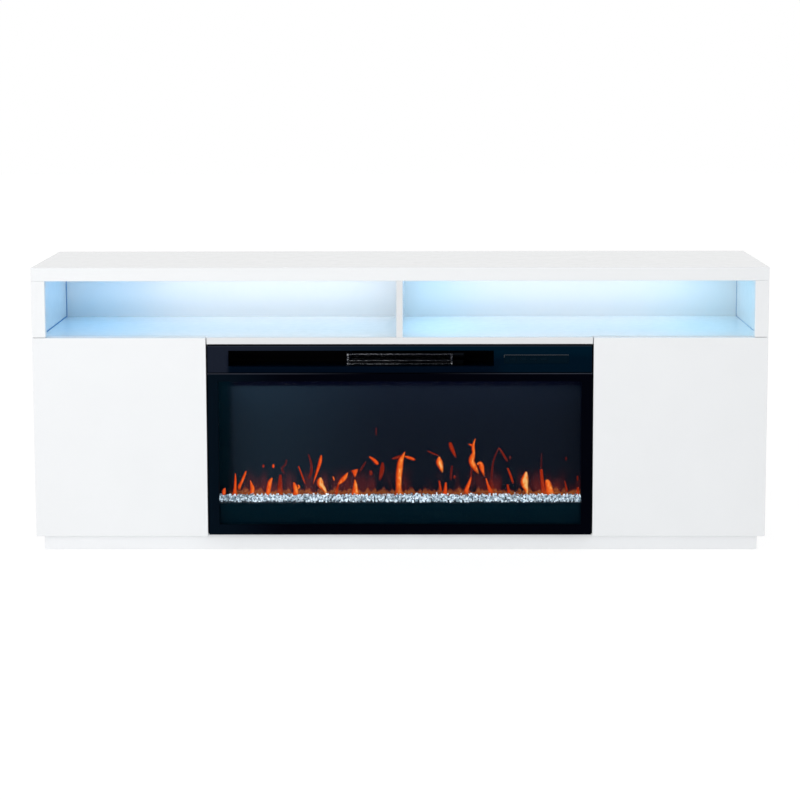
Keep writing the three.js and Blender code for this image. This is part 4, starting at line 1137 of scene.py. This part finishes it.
def crystal_bed_piece():
    dice = random.Random(BED_SEED)
    low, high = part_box("crystal_bed")
    mesh = bmesh.new()
    tone_layer = mesh.verts.layers.float.new("tone")
    for height, size, pitch in BED_LAYERS:
        columns = int((high.x - low.x) / pitch)
        rows = max(int((high.y - low.y) / pitch), 1)
        for column in range(columns):
            for row in range(rows):
                along = low.x + (column + 0.5 + dice.uniform(*SIDEWAYS_JITTER)) * (high.x - low.x) / columns
                deep = low.y + (row + 0.5 + dice.uniform(*SIDEWAYS_JITTER)) * (high.y - low.y) / rows
                up = low.z + height + dice.uniform(*HEIGHT_JITTER)
                inside = min(max(along, low.x + size / 2), high.x - size / 2)
                chunk_size = size * dice.uniform(*CHUNK_SIZES)
                crystal_chunk(mesh, tone_layer, Vector((inside, deep, up)), chunk_size, dice)
    return seat(make_piece("crystals", mesh), "cabinet", "crystal", "crystal_bed")


crystals = crystal_bed_piece()
print("crystals:", len(crystals.data.polygons), "faces")

# %% [markdown]
# Lit crystal is bright, cold and uneven. The stored tone mixes a nearly clear blue-grey with white, and a
# little emission stands for the light that comes up through the bed.

# %% Crystal material
def make_crystal():
    material, shader = start_material("crystal_glass", (0.8, 0.9, 1.0), 0.08)
    tone = attribute_node(material, "tone")
    tint = mix_colors(material, tone, (0.22, 0.36, 0.46), (0.92, 0.97, 1.0))
    connect(material, tint, shader.inputs["Base Color"])
    shader.inputs["Emission Color"].default_value = (0.66, 0.84, 1.0, 1)
    connect(material, ramp(material, tone, 0.15, 1.0, 0.02, 0.66), shader.inputs["Emission Strength"])
    shader.inputs["Coat Weight"].default_value = 0.5
    material.cycles.emission_sampling = "NONE"
    return material


crystals.data.materials.append(make_crystal())
print("made", crystals.data.materials[0].name)

# %% [markdown]
# The floor and the light of a plain white studio. The floor is a large white sheet. Seen straight by the
# camera it is nearly pure white, and only a part of its shading shows, which keeps a soft shadow by the
# plinth. The world does the same: white where the camera and the glossy surfaces look, and a gentler fill for
# the light. The floor's own glow lights nothing, so it is taken off the list of lamps that Cycles picks from
# at each bounce. The same goes for the crystals and flames above, whose many small faces would crowd that
# list.

# %% Floor and world
FLOOR_SIZE = 30.0
FLOOR_SHADE_SHARE = 0.25
FLOOR_GLOW = 1.16
FILL_LIGHT = 0.62


def looked_at(tree):
    path = tree.nodes.new("ShaderNodeLightPath")
    seen = path.outputs["Is Camera Ray"]
    for name in ("Is Glossy Ray", "Is Transmission Ray"):
        either = tree.nodes.new("ShaderNodeMath")
        either.operation = "MAXIMUM"
        tree.links.new(seen, either.inputs[0])
        tree.links.new(path.outputs[name], either.inputs[1])
        seen = either.outputs["Value"]
    return seen


def make_floor_material():
    material, shader = start_material("studio_floor", (0.82, 0.82, 0.82), 0.7)
    connect(material, spread(material, noise_node(material, 3.0), 0.66, 0.74), shader.inputs["Roughness"])
    tree = material.node_tree
    white = add_node(material, "ShaderNodeEmission", Strength=FLOOR_GLOW)
    mix = add_node(material, "ShaderNodeMixShader")
    share = times(material, looked_at(tree), 1.0 - FLOOR_SHADE_SHARE)
    connect(material, share, mix.inputs["Fac"])
    connect(material, shader.outputs["BSDF"], mix.inputs[1])
    connect(material, white.outputs["Emission"], mix.inputs[2])
    connect(material, mix.outputs["Shader"], tree.nodes["Material Output"].inputs["Surface"])
    material.cycles.emission_sampling = "NONE"
    return material


def floor_sheet():
    mesh = bmesh.new()
    bmesh.ops.create_grid(mesh, x_segments=4, y_segments=4, size=FLOOR_SIZE / 2)
    sheet = make_piece("floor", mesh, make_floor_material())
    return sheet


def white_world():
    world = bpy.data.worlds.new("studio")
    world.use_nodes = True
    tree = world.node_tree
    background = tree.nodes["Background"]
    strength = tree.nodes.new("ShaderNodeMapRange")
    strength.inputs["To Min"].default_value = FILL_LIGHT
    strength.inputs["To Max"].default_value = 1.0
    tree.links.new(looked_at(tree), strength.inputs["Value"])
    tree.links.new(strength.outputs["Result"], background.inputs["Strength"])
    background.inputs["Color"].default_value = (1, 1, 1, 1)
    bpy.context.scene.world = world


floor = floor_sheet()
white_world()
print(floor.name, FLOOR_SIZE, "m, fill", FILL_LIGHT)

# %% [markdown]
# Two large soft boxes shape the object: one in front on the left, one high up. A weak, low lamp opens the
# shadow on the plinth, as light from a white studio floor does. Area lamps give the soft shadows of a studio
# picture. Lamps that only stand for stray light are kept out of the reflections.

# %% Studio lamps
def soft_box(name, place, target, size, power, color=(1, 1, 1), mirrored=True):
    data = bpy.data.lights.new(name, "AREA")
    data.shape = "RECTANGLE"
    data.size, data.size_y = size
    data.energy = power
    data.color = color
    lamp = bpy.data.objects.new(name, data)
    lamp.location = place
    lamp.rotation_euler = (Vector(target) - Vector(place)).to_track_quat("-Z", "Y").to_euler()
    lamp.visible_camera = False
    lamp.visible_glossy = mirrored
    bpy.context.scene.collection.objects.link(lamp)


soft_box("front soft box", (-2.6, -4.2, 1.6), CONSOLE_MIDDLE, (3.0, 2.4), 48)
soft_box("top soft box", (0.4, -1.6, 3.4), CONSOLE_MIDDLE, (3.2, 1.8), 8)
soft_box("low fill", (-0.2, -3.2, 0.2), (0, 0, 0.05), (3.0, 0.3), 16, mirrored=False)
print("studio lamps placed")

# %% [markdown]
# The niche is lit by the strips. Over most of its length the light is nearly white, because it is strong, and
# past the ends of a strip only a deep blue is left. Chips that small would need very many samples to light a
# room well, so wide area lamps just under the top carry the light: a blue one over each whole bay, a warmer
# one along the strip, and blue ones at the ends. Each hangs a little lower than the last, because a ray that
# meets two lamps in one plane counts only one of them. A last one lies low and faces the back, for the light
# that the glossy niche floor throws up at the wall.

# %% Niche light
NICHE_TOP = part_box("top_board")[0].z
LAMP_STEP = 0.0007
BAY_DEPTH = 0.30
STRIP_WIDTH = 0.03
WARM_WHITE = (1.0, 0.78, 0.72)
PALE_BLUE = (0.35, 0.7, 1.0)
NICHE_LAMPS = {
    "bay": ((0.02, 0.82), {"left": (0.29, (0.19, 0.74, 1.0)), "right": (0.30, (0.24, 0.74, 1.0))}),
    "wall end": ((0.67, 0.83), {"left": (0.10, (0.0, 0.4, 1.0)), "right": (0.08, (0.0, 0.6, 1.0))}),
    "divider end": ((0.02, 0.12), {"left": (0.04, PALE_BLUE), "right": (0.15, PALE_BLUE)}),
}
STRIP_POWERS = {"left": 0.13, "right": 0.12}
BOUNCE_REACH = (0.08, 0.70)
BOUNCE_PLACE = (0.05, 0.516)
BOUNCE_TARGET = (0.197, 0.56)
BOUNCE_WIDTH = 0.05
BOUNCE_POWER = 0.055
BOUNCE_BLUE = (0.70, 0.72, 1.0)


def down_lamp(name, step, middle, size, power, color):
    above = (*middle, NICHE_TOP - LAMP_STEP * step)
    soft_box(name, above, (*middle, 0), size, power, color, mirrored=False)


def bay_lamps(side, sign):
    for step, (name, (reach, settings)) in enumerate(NICHE_LAMPS.items(), 1):
        size = (reach[1] - reach[0], BAY_DEPTH)
        down_lamp(f"{name} light {side}", step, (sign * sum(reach) / 2, 0.0), size, *settings[side])
    low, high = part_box(f"led_strip_{side}")
    middle = ((low.x + high.x) / 2, (low.y + high.y) / 2)
    size = (high.x - low.x, STRIP_WIDTH)
    down_lamp(f"strip light {side}", len(NICHE_LAMPS) + 1, middle, size, STRIP_POWERS[side], WARM_WHITE)


def bounce_lamp(side, sign):
    across = sign * sum(BOUNCE_REACH) / 2
    size = (BOUNCE_REACH[1] - BOUNCE_REACH[0], BOUNCE_WIDTH)
    soft_box(f"bounce light {side}", (across, *BOUNCE_PLACE), (across, *BOUNCE_TARGET), size, BOUNCE_POWER,
             BOUNCE_BLUE, mirrored=False)


for side, sign in SIDES.items():
    bay_lamps(side, sign)
    bounce_lamp(side, sign)
print("niche lamps:", len(SIDES) * (len(NICHE_LAMPS) + 2))

# %% [markdown]
# Inside the insert a cold lamp under the top of the firebox lights the crystals from above, as the row of
# small lamps in a real insert does.

# %% Firebox light
FIREBOX_LAMP_POWER = 0.5
FIREBOX_LAMP_WIDTH = 0.02
FIREBOX_LAMP_DROP = 0.01
COLD_WHITE = (0.75, 0.9, 1.0)


def firebox_lamp():
    low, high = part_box("crystal_bed")
    middle = ((low.x + high.x) / 2, (low.y + high.y) / 2)
    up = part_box("heater_deck")[0].z - FIREBOX_LAMP_DROP
    size = (high.x - low.x, FIREBOX_LAMP_WIDTH)
    soft_box("crystal light", (*middle, up), (*middle, 0), size, FIREBOX_LAMP_POWER, COLD_WHITE,
             mirrored=False)
    return up


print("firebox lit from z =", round(firebox_lamp(), 3))

# %% [markdown]
# The Standard view shows each colour as it is written.

# %% Finish
bpy.context.scene.view_settings.view_transform = "Standard"
